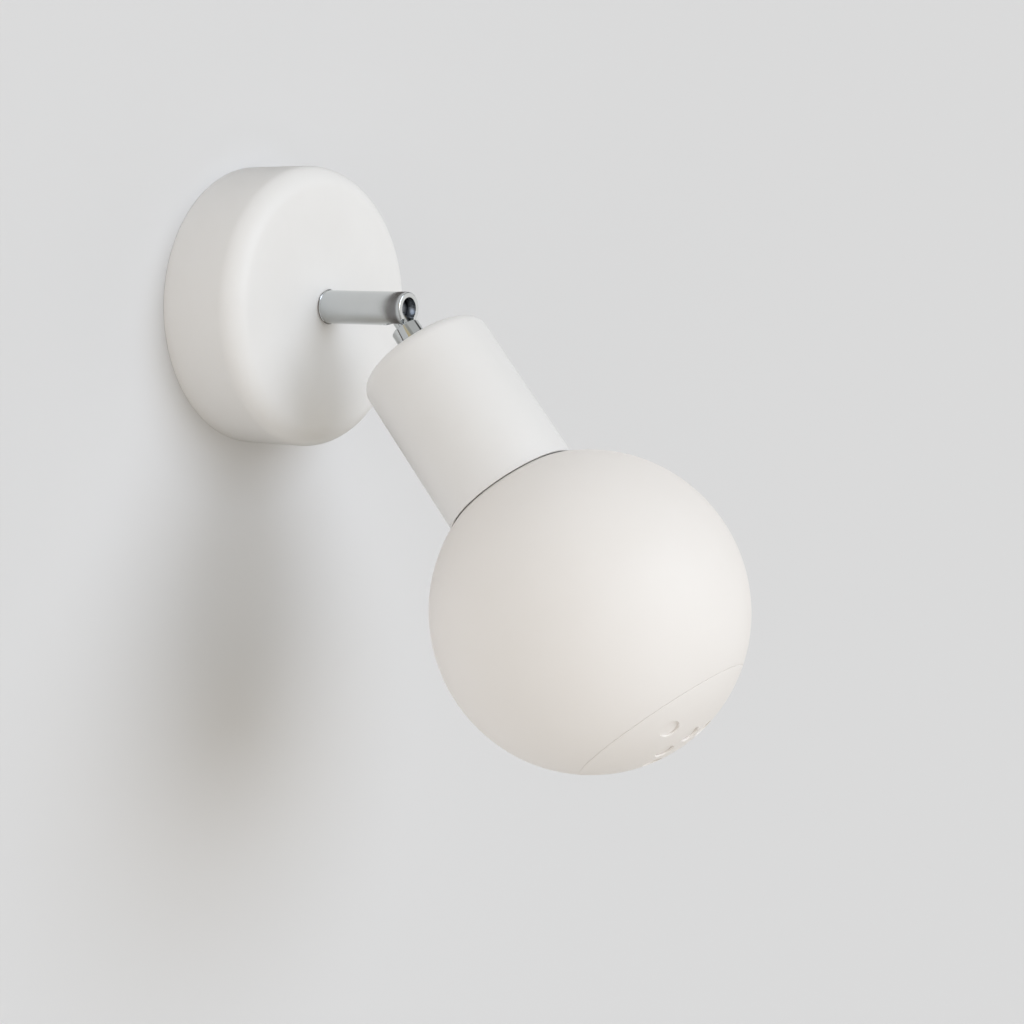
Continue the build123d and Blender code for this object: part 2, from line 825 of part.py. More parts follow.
def make_tip_contact():
    corners = [
        (0, tip_contact_low),
        (tip_contact_radius, tip_contact_low),
        (tip_contact_radius, insulator_low),
        (0, insulator_low),
    ]
    return turned(corners, [0, tip_contact_height * 0.8, 0, 0])


def make_lamp_neck():
    """The moulded neck that flares from the cap to the globe's mouth."""
    spigot = lamp_cap_radius - lamp_cap_wall - assembly_clearance
    bore = spigot - lamp_neck_wall
    start = lamp_cap_high
    flange_low = neck_flange_top - lamp_neck_flange_height
    inside = globe_neck_radius - assembly_clearance - lamp_neck_wall
    cup_floor = heat_cup_low - assembly_clearance
    throat = lamp_cap_radius + lamp_neck_step
    corners = [
        (bore, start - lamp_neck_sleeve),
        (spigot, start - lamp_neck_sleeve),
        (spigot, start + assembly_clearance),
        (throat, start + assembly_clearance),
        (throat, start + lamp_neck_step_height),
        (lamp_neck_flange, flange_low),
        (lamp_neck_flange, neck_flange_top),
        (globe_neck_radius - assembly_clearance, neck_flange_top),
        (globe_neck_radius - assembly_clearance, globe_mouth + lamp_neck_spigot),
        (inside, globe_mouth + lamp_neck_spigot),
        (inside, cup_floor),
        (inside - lamp_neck_ledge, cup_floor),
        (bore, start),
    ]
    return turned(corners)


def make_heat_cup():
    """The aluminium cup that the light board sits on, pressed into the neck."""
    corners = [
        (0, heat_plate_top - heat_plate_thickness),
        (heat_cup_radius - heat_cup_wall, heat_plate_top - heat_plate_thickness),
        (heat_cup_radius - heat_cup_wall, heat_cup_low),
        (heat_cup_radius, heat_cup_low),
        (heat_cup_radius, heat_plate_top),
        (0, heat_plate_top),
    ]
    cup = turned(corners)
    for side in (-1, 1):
        hole = lamp_wire_radius + loose_clearance
        cup -= rod(hole, heat_plate_top - heat_plate_thickness, heat_plate_top, 0, side * lamp_wire_place)
    return cup


def make_led_board():
    return ring(0, led_board_radius, heat_plate_top, heat_plate_top + led_board_thickness)


def make_leds():
    """A ring of light-emitting chips on the board."""
    top = heat_plate_top + led_board_thickness
    chip = block(led_size, (led_ring, 0, top + led_size[2] / 2))
    return [Rot(Z=turn * 360 / led_count) * chip for turn in range(led_count)]


def make_driver_board():
    size = (driver_board_thickness, 2 * driver_board_half_width, driver_board_high - driver_board_low)
    return block(size, (0, 0, (driver_board_low + driver_board_high) / 2))


def make_driver_parts():
    """The transformer on one side of the board and the capacitor on the other."""
    face = driver_board_thickness / 2
    start = driver_board_low + driver_part_place
    transformer_middle = (face + transformer_size[0] / 2, 0, start + transformer_size[2] / 2)
    transformer = block(transformer_size, transformer_middle)
    capacitor_place = -(face + capacitor_radius + solder_gap)
    capacitor = rod(capacitor_radius, start, start + capacitor_length, capacitor_place)
    return [transformer, capacitor]


def make_lamp_wires():
    """The wire from the tip contact to the driver board, and two from there to the light board."""
    wires = [rod(lamp_wire_radius, insulator_low, driver_board_low - assembly_clearance)]
    start = driver_board_high + assembly_clearance
    end = heat_plate_top - assembly_clearance
    for side in (-1, 1):
        wires.append(rod(lamp_wire_radius, start, end, 0, side * lamp_wire_place))
    return wires


def make_globe_shell():
    """The globe from its mouth on the neck to the seam of the end cap."""
    mouth = -sqrt(globe_radius**2 - globe_neck_radius**2)
    inner_mouth = -sqrt(globe_inner_radius**2 - globe_neck_radius**2)
    seam = seam_height - seam_gap / 2
    edges = [
        sphere_arc(globe_radius, mouth, seam),
        Line(sphere_point(globe_radius, seam), sphere_point(globe_inner_radius, seam)),
        sphere_arc(globe_inner_radius, inner_mouth, seam),
        Line(sphere_point(globe_inner_radius, inner_mouth), sphere_point(globe_radius, mouth)),
    ]
    return revolve(make_face(edges), axis=Axis.Z)


def make_end_cap():
    """The vented end of the globe, with a spigot that slips inside the globe's edge."""
    seam = seam_height + seam_gap / 2
    edges = [
        sphere_arc(globe_radius, seam, globe_radius),
        Line((0, 0, globe_centre + globe_radius), (0, 0, globe_centre + globe_inner_radius)),
        sphere_arc(globe_inner_radius, seam, globe_inner_radius),
        Line(sphere_point(globe_inner_radius, seam), sphere_point(globe_radius, seam)),
    ]
    cap = revolve(make_face(edges), axis=Axis.Z)
    spigot = sqrt(globe_inner_radius**2 - seam_height**2) - loose_clearance
    low = globe_centre + seam_height - seam_spigot_depth
    high = globe_centre + sqrt(globe_inner_radius**2 - spigot**2) + globe_wall / 2
    cap += ring(spigot - seam_spigot_wall, spigot, low, high)
    for angle, radius in vent_places():
        tilt = degrees(acos(sqrt(globe_radius**2 - radius**2) / globe_radius))
        drill = Pos(0, 0, globe_radius) * Cylinder(vent_radius, 4 * globe_wall)
        cap -= Pos(0, 0, globe_centre) * Rot(Z=angle) * Rot(Y=tilt) * drill
    return cap


def vent_places():
    """Angle and ring radius of each vent: six close round the pole and three further out."""
    places = []
    for vent in range(inner_vent_count):
        places.append((vent_phase + (vent + 0.5) * 360 / inner_vent_count, inner_vent_ring))
    for vent in range(outer_vent_count):
        places.append((vent_phase + vent * 360 / outer_vent_count, outer_vent_ring))
    return places


def make_vent_baffle():
    """The dished disc behind the vents that keeps light and insects in their places."""
    outer = globe_inner_radius - loose_clearance
    inner = outer - baffle_thickness
    low_outer = sqrt(outer**2 - baffle_radius**2)
    low_inner = sqrt(inner**2 - baffle_radius**2)
    edges = [
        sphere_arc(outer, low_outer, outer),
        Line((0, 0, globe_centre + outer), (0, 0, globe_centre + inner)),
        sphere_arc(inner, low_inner, inner),
        Line(sphere_point(inner, low_inner), sphere_point(outer, low_outer)),
    ]
    return revolve(make_face(edges), axis=Axis.Z)


# ---- placing and writing ----
wall_frame = Rot(X=90)
head_frame = Pos(0, -pivot_reach, 0) * Rot(X=90 + head_tilt)

wall_pieces = {
    "canopy": make_canopy(),
    "wall_bracket": make_wall_bracket(),
    "canopy_grub_screws": make_grub_screws(),
    "earth_screw": make_earth_screw(),
    "earth_washer": make_earth_washer(),
    "earth_tag": make_earth_tag(),
    "earth_lead": make_earth_lead(),
    "terminal_block": make_terminal_block(),
    "terminal_clamp_screws": make_clamp_screws(),
    "canopy_leads": make_canopy_leads(),
    "canopy_stiffener": make_stiffener(),
    "arm_base_washer": make_base_washer(),
    "swivel_friction_washer": make_friction_washer(),
    "swivel_stop_ring": make_stop_ring(),
    "swivel_spring_washer": make_spring_washer(),
    "swivel_nut": hexagon_nut(nut_top - nut_thickness, nut_top),
    "arm_nipple": make_arm_nipple(),
    "arm_tube": make_arm_tube(),
    "disc_springs": make_disc_springs(),
    "ball_plunger": make_plunger(),
    "arm_leads": make_arm_leads(),
}
head_pieces = {
    "ball_stem": make_ball_stem(),
    "stem_leads": make_stem_leads(),
    "spin_washer": make_spin_washer(),
    "lamp_cover": make_cover(),
    "head_nipple": make_head_nipple(),
    "head_toothed_washer": make_toothed_washer(),
    "head_nut": hexagon_nut(toothed_washer_end, head_nut_end),
    "holder_cap": make_holder_cap(),
    "holder_skirt": make_holder_skirt(),
    "contact_block": make_contact_block(),
    "holder_terminal_screws": make_terminal_screws(),
    "holder_thread_shell": make_thread_shell(),
    "centre_contact": make_centre_contact(),
    "head_leads": make_head_leads(),
    "lamp_cap": make_lamp_cap(),
    "lamp_cap_insulator": make_cap_insulator(),
    "lamp_tip_contact": make_tip_contact(),
    "lamp_neck": make_lamp_neck(),
    "heat_cup": make_heat_cup(),
    "led_board": make_led_board(),
    "led_chips": make_leds(),
    "driver_board": make_driver_board(),
    "driver_parts": make_driver_parts(),
    "lamp_wires": make_lamp_wires(),
    "globe_shell": make_globe_shell(),
    "globe_end_cap": make_end_cap(),
    "vent_baffle": make_vent_baffle(),
}


def write(name, pieces, frame):
    """Writes one sub-part, made of one solid or several separate ones, in the row frame."""
    solids = []
    for piece in pieces if isinstance(pieces, list) else [pieces]:
        solids.extend((frame * piece).solids())
    shape = solids[0] if len(solids) == 1 else Compound(children=solids)
    export_step(shape, f"parts/{name}.step")


os.makedirs("parts", exist_ok=True)
for name, pieces in wall_pieces.items():
    write(name, pieces, wall_frame)
for name, pieces in head_pieces.items():
    write(name, pieces, head_frame)

print(f"ball centre {pivot_reach:.2f} mm out of the wall, globe centre {globe_centre:.2f} mm from it")
print(f"cover rim at {cover_rim:.2f}, holder mouth at {holder_mouth:.2f}, lamp tip at {tip_contact_low:.2f}")
print(f"the arm swings {swing_limit:.0f} degrees each way and the lamp lifts out over {lamp_travel:.2f} mm")
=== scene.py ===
# %% [markdown]
# # A pivoting spotlight for the wall
#
# This lesson dresses a finished CAD model of a small white wall light. The CAD pieces have their real
# sizes and places, in metres: the origin is the centre of the wall face, -Y points out of the wall, +X to
# the right of someone who faces it, and +Z up.
#
# The steps are always the same: say what a piece is on the real light, work out its surface with numpy as
# a function of two parameters, give it a finish made of nodes, and let it ride on its CAD body.

# %% Load the CAD frame
import json
import math

import bmesh
import bpy
import numpy as np
from mathutils import Matrix, Vector


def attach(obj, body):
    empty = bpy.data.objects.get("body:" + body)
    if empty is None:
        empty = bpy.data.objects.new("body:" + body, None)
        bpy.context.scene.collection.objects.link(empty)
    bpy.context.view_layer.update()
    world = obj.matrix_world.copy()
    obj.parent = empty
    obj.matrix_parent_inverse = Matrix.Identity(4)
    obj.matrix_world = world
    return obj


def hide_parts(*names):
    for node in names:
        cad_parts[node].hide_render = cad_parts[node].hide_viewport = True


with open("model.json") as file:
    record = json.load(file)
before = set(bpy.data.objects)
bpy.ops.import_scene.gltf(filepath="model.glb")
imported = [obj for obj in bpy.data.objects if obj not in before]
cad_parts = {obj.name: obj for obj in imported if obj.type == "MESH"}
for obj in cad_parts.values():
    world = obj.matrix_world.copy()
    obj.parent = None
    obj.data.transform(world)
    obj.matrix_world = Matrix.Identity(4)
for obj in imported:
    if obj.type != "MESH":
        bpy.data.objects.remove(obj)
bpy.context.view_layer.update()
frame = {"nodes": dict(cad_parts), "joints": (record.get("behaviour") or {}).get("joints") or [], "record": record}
nodes = frame["nodes"]
joints = {joint["name"]: joint for joint in frame["joints"]}
slots = {row["node"]: row["material_slot"] for row in frame["record"]["subparts"]}
body_nodes = frame["record"]["behaviour"]["bodies"]
bodies = {name: body for body, names in body_nodes.items() for name in names}
MM = 0.001

# %% [markdown]
# ## Two sets of axes
#
# Everything on this light is turned on a lathe about one of two lines: the line straight out of the wall,
# or the line of the head, which leans down. So each set of axes is an origin on the line and three
# directions, with the third along the line. The head's line comes from the joints of the CAD model.

# %% Axes along the arm and along the head
def axes_along(origin, direction):
    """An origin and three unit directions: to the right, upwards, and along the given direction."""
    along = np.array(direction, float)
    along /= np.linalg.norm(along)
    right = np.array([1.0, 0.0, 0.0])
    return np.array(origin, float), np.stack([right, np.cross(along, right), along])


def placed(local, axes):
    """Points given in millimetres along a set of axes, as points of the row frame in metres."""
    origin, directions = axes
    return origin + MM * (local @ directions)


def reach(node, axes):
    """How far a CAD node reaches along a line: lowest place, highest place and largest radius, in mm."""
    origin, directions = axes
    mesh = nodes[node].data
    points = np.empty(len(mesh.vertices) * 3)
    mesh.vertices.foreach_get("co", points)
    local = (points.reshape(-1, 3) - origin) @ directions.T / MM
    radius = np.hypot(local[:, 0], local[:, 1])
    return local[:, 2].min(), local[:, 2].max(), radius.max()


WALL = axes_along((0, 0, 0), (0, -1, 0))
HEAD = axes_along(joints["head_tilt"]["pos_m"], joints["head_spin"]["axis"])
for name, axes in (("canopy", WALL), ("arm_tube", WALL), ("lamp_cover", HEAD), ("globe_shell", HEAD)):
    print(name, "low %.2f high %.2f radius %.2f mm" % reach(name, axes))

# %% [markdown]
# ## Turned pieces
#
# A turned piece is an outline carried round a line. The outline is drawn in two numbers, radius and
# height, and only its corners are listed: each corner gets its own small radius, because real pressed
# and moulded parts have no sharp edges, and those tiny radii catch the light.

# %% Outlines with rounded corners
def rounded(corners, radii, steps=8):
    """A closed outline whose corners are replaced by arcs.

    At a corner with turn angle a, the arc of radius r starts r * tan(a / 2) before the corner, and its
    centre is r away from both sides.
    """
    corners = np.array(corners, float)
    pieces = []
    neighbours = zip(np.roll(corners, 1, 0), corners, np.roll(corners, -1, 0), radii)
    for before, corner, after, radius in neighbours:
        if radius == 0:
            pieces.append(corner[None])
            continue
        u = (corner - before) / np.linalg.norm(corner - before)
        v = (after - corner) / np.linalg.norm(after - corner)
        turn = math.atan2(u[0] * v[1] - u[1] * v[0], u @ v)
        start = corner - u * radius * math.tan(abs(turn) / 2)
        side = math.copysign(1, turn) * np.array([-u[1], u[0]])
        angle = np.linspace(0, abs(turn), steps + 1)[:, None]
        pieces.append(start + radius * (side * (1 - np.cos(angle)) + u * np.sin(angle)))
    return np.concatenate(pieces)


def arc(radius, centre_height, first, last, steps):
    """Part of a circle centred on the line: angles in radians from the line, as (radius, height)."""
    angle = np.linspace(first, last, steps + 1)
    return np.stack([radius * np.sin(angle), centre_height + radius * np.cos(angle)], 1)


def polar(radius, angle, height):
    """Points (radius cos angle, radius sin angle, height), for every pair of row and column."""
    both = np.broadcast_arrays(radius * np.cos(angle), radius * np.sin(angle), height)
    return np.stack(both, -1)


def turned(outline, axes, segments=144, rule=None):
    """A grid of points: row i is outline point i, column j is a turn of j / segments about the line.

    A rule may change the radius from point to point: it is a function of radius, angle and height.
    """
    outline = np.concatenate([outline, outline[:1]])
    angle = np.linspace(0, 2 * math.pi, segments + 1)
    radius, height = outline[:, :1], outline[:, 1:]
    return placed(polar(rule(radius, angle, height) if rule else radius, angle, height), axes)


# %% [markdown]
# ## From grids to a mesh
#
# A piece is one or more grids whose edges meet. Their points go into a mesh in one call, four to a face.
# The points that meet are then merged, which also closes the seam and the poles, and the faces are
# turned outwards. Smooth shading with sharp edges above an angle keeps flats flat and rounds round.

# %% Make a piece
def faces_between(index):
    """The four corners of each cell in a grid of point numbers, in order round the cell."""
    corners = (index[:-1, :-1], index[:-1, 1:], index[1:, 1:], index[1:, :-1])
    return np.stack(corners, -1).reshape(-1, 4)


weld_distance = 0.002 * MM


def made(name, grids, node_name, sharp_angle=32, bevel=None, material=None):
    """A mesh piece in the place of a CAD node, welded from grids and facing outwards; bevel is in mm.

    It rides on the node's body and takes the node's slot and, unless another is given, its finish.
    """
    points, faces, start = [], [], 0
    for grid in grids:
        rows, columns = grid.shape[:2]
        index = start + np.arange(rows * columns).reshape(rows, columns)
        faces.append(faces_between(index))
        points.append(grid.reshape(-1, 3))
        start += rows * columns
    mesh = bpy.data.meshes.new(name)
    mesh.from_pydata(np.concatenate(points), [], np.concatenate(faces))
    welded = bmesh.new()
    welded.from_mesh(mesh)
    bmesh.ops.remove_doubles(welded, verts=welded.verts, dist=weld_distance)
    bmesh.ops.dissolve_degenerate(welded, edges=welded.edges, dist=weld_distance / 2)
    bmesh.ops.recalc_face_normals(welded, faces=welded.faces)
    open_edges = sum(not edge.is_manifold for edge in welded.edges)
    welded.to_mesh(mesh)
    welded.free()
    mesh.shade_smooth()
    piece = bpy.data.objects.new(name, mesh)
    if bevel:
        edge = piece.modifiers.new("edge", "BEVEL")
        edge.width, edge.segments = bevel * MM, 3
        edge.limit_method, edge.angle_limit = "ANGLE", math.radians(sharp_angle)
        edge.harden_normals = True
    else:
        mesh.set_sharp_from_angle(angle=math.radians(sharp_angle))
    bpy.context.scene.collection.objects.link(piece)
    mesh.materials.append(material or finishes[slots[node_name]])
    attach(piece, bodies[node_name])
    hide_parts(node_name)
    print(f"{name}: {len(mesh.polygons)} faces, {open_edges} open edges, rides on {bodies[node_name]}")


# %% [markdown]
# ## The camera
#
# The camera stands to the left of the light and a little above it, 0.76 m away, as in the photograph. Its
# place was found by fitting the outlines of the canopy, the cover and the globe. The small downward shift
# keeps upright lines parallel, as the photograph has them.

# %% Camera
azimuth, elevation, roll = (math.radians(angle) for angle in (-57.77, 2.58, 0.884))
focal_pixels = 1725.4
image_width = 1024
horizon_row = 360
origin_column, origin_row = 259.97, 305.01
origin_depth = 0.75593

back = np.array([
    math.sin(azimuth) * math.cos(elevation),
    -math.cos(azimuth) * math.cos(elevation),
    math.sin(elevation),
])
level = np.cross(-back, (0, 0, 1))
level /= np.linalg.norm(level)
upright = np.cross(level, -back)
right = level * math.cos(roll) + upright * math.sin(roll)
up = upright * math.cos(roll) - level * math.sin(roll)
across = (origin_column - image_width / 2) / focal_pixels * origin_depth
above = (horizon_row - origin_row) / focal_pixels * origin_depth
stand = -(across * right + above * up - origin_depth * back)

camera_data = bpy.data.cameras.new("camera")
camera_data.sensor_width = 36
camera_data.lens = focal_pixels / image_width * camera_data.sensor_width
camera_data.shift_y = (horizon_row - image_width / 2) / image_width
camera = bpy.data.objects.new("camera", camera_data)
camera.rotation_mode = "QUATERNION"
bpy.context.scene.collection.objects.link(camera)
bpy.context.scene.camera = camera
camera.location = Vector(stand)
camera.rotation_quaternion = Matrix((right, up, back)).transposed().to_quaternion()
print(f"camera at {np.round(stand, 3)}, lens {camera_data.lens:.2f} mm")

# %% [markdown]
# ## The wall and the light
#
# A wall light needs a wall rather than a floor: one large pale plane that takes its soft shadow. It has a
# round opening where the canopy covers it, and it is clear from behind, so that the inside of the canopy
# can be looked at and is lit. The light is that of a plain studio: a low even daylight from all round, a
# tall soft box on either side that reaches along the wall, and a large soft source in front and above,
# which is a broad sun with two weak ones under it, so that the whole wall is lit evenly.

# %% Node helper
def node(tree, kind, inputs=None, **settings):
    """Adds a shader node; an input given a socket or a node is linked, and any other value is set."""
    added = tree.nodes.new("ShaderNode" + kind)
    for key, value in settings.items():
        setattr(added, key, value)
    for key, value in (inputs or {}).items():
        value = value.outputs[0] if isinstance(value, bpy.types.Node) else value
        if isinstance(value, bpy.types.NodeSocket):
            tree.links.new(value, added.inputs[key])
        else:
            added.inputs[key].default_value = value
    return added


def maths(tree, operation, *values):
    """The result of a math node."""
    return node(tree, "Math", dict(enumerate(values)), operation=operation).outputs[0]


def measured(tree, operation, *vectors):
    """A number made from vectors: a length, a distance or a dot product."""
    return node(tree, "VectorMath", dict(enumerate(vectors)), operation=operation).outputs["Value"]


def between(tree, value, low, high, from_low=0.0, from_high=1.0, kind="LINEAR"):
    """Maps a value that runs from from_low to from_high onto low to high."""
    inputs = {"Value": value, "From Min": from_low, "From Max": from_high, "To Min": low, "To Max": high}
    return node(tree, "MapRange", inputs, interpolation_type=kind).outputs["Result"]


def mixed(tree, factor, one, other):
    """A colour from one to other, each a socket or three numbers, by a factor."""
    mix = node(tree, "Mix", data_type="RGBA")
    tree.links.new(factor, mix.inputs["Factor"])
    for socket, value in zip([s for s in mix.inputs if s.type == "RGBA"], (one, other)):
        if isinstance(value, bpy.types.NodeSocket):
            tree.links.new(value, socket)
        else:
            socket.default_value = (*value, 1)
    return [s for s in mix.outputs if s.type == "RGBA"][0]


def empty_tree(owner):
    """The owner's node tree with nothing in it."""
    owner.use_nodes = True
    owner.node_tree.nodes.clear()
    return owner.node_tree


# %% World
wall_tone = 0.70
wall_colour = (wall_tone, wall_tone, wall_tone, 1)
daylight = (0.400, 0.374, 0.318, 1)
box_colour = (1.0, 0.963, 0.975, 1)
left_strength, right_strength = 1.24, 0.62
box_edge, box_full = 0.55, 0.97
fade_start, fade_end = 0.25, 0.75
world = bpy.data.worlds.new("world")
bpy.context.scene.world = world
tree = empty_tree(world)
path = node(tree, "LightPath").outputs
seen = maths(tree, "MAXIMUM", path["Is Camera Ray"], path["Is Transmission Ray"])
pale = node(tree, "Background", {"Color": wall_colour})
toward = node(tree, "TexCoord").outputs["Generated"]
even = node(tree, "Background", {"Color": daylight})
part = node(tree, "SeparateXYZ", {"Vector": toward}).outputs
left = between(tree, part["X"], left_strength, 0.0, -box_full, -box_edge, "SMOOTHSTEP")
right_side = between(tree, part["X"], 0.0, right_strength, box_edge, box_full, "SMOOTHSTEP")
upwards = maths(tree, "ABSOLUTE", part["Z"])
level_part = between(tree, upwards, 1.0, 0.0, fade_start, fade_end, "SMOOTHSTEP")
tall = maths(tree, "MULTIPLY", maths(tree, "ADD", left, right_side), level_part)
sides = node(tree, "Background", {"Color": box_colour, "Strength": tall})
light = node(tree, "AddShader", {0: even, 1: sides})
shown = node(tree, "MixShader", {0: seen, 1: light, 2: pale})

# %% [markdown]
# Chrome has no colour of its own: it shows the room. A studio has dark places between its soft lights and
# a warm lamp here and there, so for glossy rays alone the world gets a few patches. Each patch is a
# direction, an outer and an inner angle and a tone, and its mask rises smoothly from the outer angle to
# the inner one. Near the canopy the wall, too, is darker to glossy rays, where the tube's end mirrors it.
# No light on the object changes.

# %% The room that metal sees
room_colour = (0.60, 0.60, 0.59)
patches = [
    ((0.748, -0.253, 0.614), 15, 6, (0.06, 0.06, 0.06)),
    ((-0.60, -0.33, 0.73), 16, 5, (0.40, 0.40, 0.37)),
    ((-0.88, -0.06, 0.48), 22, 8, (0.66, 0.56, 0.36)),
    ((0.84, -0.53, -0.10), 30, 12, (0.95, 0.94, 0.92)),
    ((0.50, -0.10, -0.85), 50, 20, (0.20, 0.18, 0.16)),
]
for direction, outer, inner, tone in patches:
    facing = measured(tree, "DOT_PRODUCT", toward, Vector(direction).normalized())
    edges = [math.cos(math.radians(angle)) for angle in (outer, inner)]
    mask = between(tree, facing, 0.0, 1.0, *edges, "SMOOTHSTEP")
    room_colour = mixed(tree, mask, room_colour, tone)
room = node(tree, "Background", {"Color": room_colour})
shown = node(tree, "MixShader", {0: path["Is Glossy Ray"], 1: shown, 2: room})
node(tree, "OutputWorld", {"Surface": shown})
print("daylight from all round:", daylight[:3], "and", len(patches), "patches that metal sees")

# %% Suns
for number, (height, aside, width, strength, colour) in enumerate([
    (24, 6, 45, 1.285, (0.895, 1.0, 1.16)),
    (6, 5, 30, 0.33, (1.10, 1.0, 0.91)),
    (-38, 6, 24, 0.18, (0.95, 1.0, 1.13)),
]):
    sun_data = bpy.data.lights.new(f"sun_{number}", "SUN")
    sun_data.energy = strength
    sun_data.angle = math.radians(width)
    sun_data.color = colour
    sun = bpy.data.objects.new(f"sun_{number}", sun_data)
    sun.rotation_euler = (math.radians(90 - height), 0, math.radians(aside))
    bpy.context.scene.collection.objects.link(sun)
    print(f"sun {number}: {height} degrees up, {aside} degrees to the right, {width} degrees wide")

# %% Wall
wall_behind = 0.03
wall_opening, wall_size = 59.75, 4000.0
shade_full, shade_end, shade_share = 0.110, 0.131, 0.92
shade_colour = (0.06, 0.042, 0.034, 1)
ring_radii = np.geomspace(wall_opening, wall_size, 24)
wall_points = turned(np.stack([ring_radii, 0 * ring_radii - wall_behind], 1), WALL, 96)[:-1]
index = np.arange(wall_points[..., 0].size).reshape(wall_points.shape[:2])
wall_mesh = bpy.data.meshes.new("wall")
wall_mesh.from_pydata(wall_points.reshape(-1, 3), [], faces_between(index)[:, ::-1])
wall = bpy.data.objects.new("wall", wall_mesh)
bpy.context.scene.collection.objects.link(wall)
paint = bpy.data.materials.new("wall_paint")
tree = empty_tree(paint)
away = measured(tree, "LENGTH", node(tree, "TexCoord").outputs["Object"])
shade = between(tree, away, shade_share, 0.0, shade_full, shade_end, "SMOOTHSTEP")
for_metal = maths(tree, "MULTIPLY", shade, node(tree, "LightPath").outputs["Is Glossy Ray"])
painted = node(tree, "BsdfDiffuse", {"Color": wall_colour})
dark = node(tree, "BsdfDiffuse", {"Color": shade_colour})
painted = node(tree, "MixShader", {0: for_metal, 1: painted, 2: dark})
behind = node(tree, "NewGeometry").outputs["Backfacing"]
side = node(tree, "MixShader", {0: behind, 1: painted, 2: node(tree, "BsdfTransparent")})
node(tree, "OutputMaterial", {"Surface": side})
wall_mesh.materials.append(paint)
print("wall faces towards", wall_mesh.polygons[0].normal[:])

# %% [markdown]
# ## Shared effects for the finishes
#
# Real finishes are never one flat colour: paint has a fine skin and metal has turning marks. Outside edges
# get their own tone, partly rubbed wear and partly a painted highlight, and closed corners a darker one, in
# patches. Each such effect is a small node group that is built once and used by many materials with its own
# values. A group only puts out masks and heights that change over the surface.

# %% Group helper
def group(name, inputs, outputs):
    """An empty node group with float or vector inputs and float outputs."""
    tree = bpy.data.node_groups.new(name, "ShaderNodeTree")
    for label, value in inputs.items():
        kind = "NodeSocketVector" if value is None else "NodeSocketFloat"
        socket = tree.interface.new_socket(label, in_out="INPUT", socket_type=kind)
        if value is not None:
            socket.default_value = value
    for label in outputs:
        tree.interface.new_socket(label, in_out="OUTPUT", socket_type="NodeSocketFloat")
    return tree, tree.nodes.new("NodeGroupInput").outputs, tree.nodes.new("NodeGroupOutput").inputs


def noise(tree, vector, scale, detail=2.0, roughness=0.5):
    """The value of a noise texture."""
    inputs = {"Vector": vector, "Scale": scale, "Detail": detail, "Roughness": roughness}
    return node(tree, "TexNoise", inputs).outputs["Fac"]


# %% Clouds: slow, soft changes of tone, gloss or thickness
tree, given, result = group("clouds", {"Vector": None, "Scale": 40.0, "Low": 0.0, "High": 1.0}, ["Value"])
soft = noise(tree, given["Vector"], given["Scale"], 4.0, 0.55)
tree.links.new(between(tree, soft, given["Low"], given["High"], 0.3, 0.7), result["Value"])
clouds = tree

# %% Skin: the fine relief of sprayed powder or of a moulded surface
tree, given, result = group("skin", {"Vector": None, "Scale": 1200.0, "Pores": 0.3}, ["Height"])
peel = noise(tree, given["Vector"], given["Scale"], 1.0, 0.4)
pore_scale = 3.7
finer = maths(tree, "MULTIPLY", given["Scale"], pore_scale)
pores = noise(tree, given["Vector"], finer, 2.0, 0.6)
deep = maths(tree, "MULTIPLY", pores, given["Pores"])
tree.links.new(maths(tree, "ADD", peel, deep), result["Height"])
skin = tree

# %% Turning marks: fine rings about the Z axis of the given vector, from a lathe or a polishing wheel
tree, given, result = group("turning_marks", {"Vector": None, "Scale": 4000.0}, ["Height"])
parts = node(tree, "SeparateXYZ", {"Vector": given["Vector"]}).outputs
flat = node(tree, "CombineXYZ", {"X": parts["X"], "Y": parts["Y"]}).outputs[0]
radius = measured(tree, "LENGTH", flat)
rings = node(tree, "CombineXYZ", {"X": radius, "Y": parts["Z"]}).outputs[0]
tree.links.new(noise(tree, rings, given["Scale"], 3.0, 0.6), result["Height"])
turning_marks = tree

# %% Worn and glinting edges: a mask that is 1 where a small ball would touch an outside edge; its tone is partly rubbed wear and partly a painted highlight
tree, given, result = group("worn_and_glint_edges", {"Vector": None, "Width": 0.0004, "Break": 900.0}, ["Mask"])
rounded_normal = node(tree, "Bevel", {"Radius": given["Width"]}, samples=4).outputs["Normal"]
true_normal = node(tree, "NewGeometry").outputs["Normal"]
meeting = measured(tree, "DOT_PRODUCT", rounded_normal, true_normal)
wear_and_glint = between(tree, meeting, 1.0, 0.0, 0.80, 0.985)
broken = between(tree, noise(tree, given["Vector"], given["Break"], 3.0), 0.35, 1.0, 0.35, 0.6)
tree.links.new(maths(tree, "MULTIPLY", wear_and_glint, broken), result["Mask"])
worn_and_glint_edges = tree

# %% Closed corners: a mask, in patches, that is 1 in corners which a short ambient-occlusion test finds closed
tree, given, result = group("closed_corner_darkening", {"Vector": None, "Reach": 0.002, "Scale": 700.0}, ["Mask"])
open_sky = node(tree, "AmbientOcclusion", {"Distance": given["Reach"]}, samples=4, only_local=True)
closed = between(tree, open_sky.outputs["AO"], 1.0, 0.0, 0.2, 0.75)
patchy = between(tree, noise(tree, given["Vector"], given["Scale"], 3.0), 0.3, 1.0, 0.3, 0.65)
tree.links.new(maths(tree, "MULTIPLY", closed, patchy), result["Mask"])
closed_corner_darkening = tree

# %% Fibres: streaks along the Z axis of the given vector
tree, given, result = group("fibres", {"Vector": None, "Scale": 900.0, "Stretch": 0.15}, ["Value"])
long_way = node(tree, "CombineXYZ", {"X": 1.0, "Y": 1.0, "Z": given["Stretch"]}).outputs[0]
squeezed = node(tree, "VectorMath", {0: given["Vector"], 1: long_way}, operation="MULTIPLY").outputs[0]
tree.links.new(noise(tree, squeezed, given["Scale"], 4.0, 0.6), result["Value"])
fibres = tree
print("shared effects:", [tree.name for tree in bpy.data.node_groups])

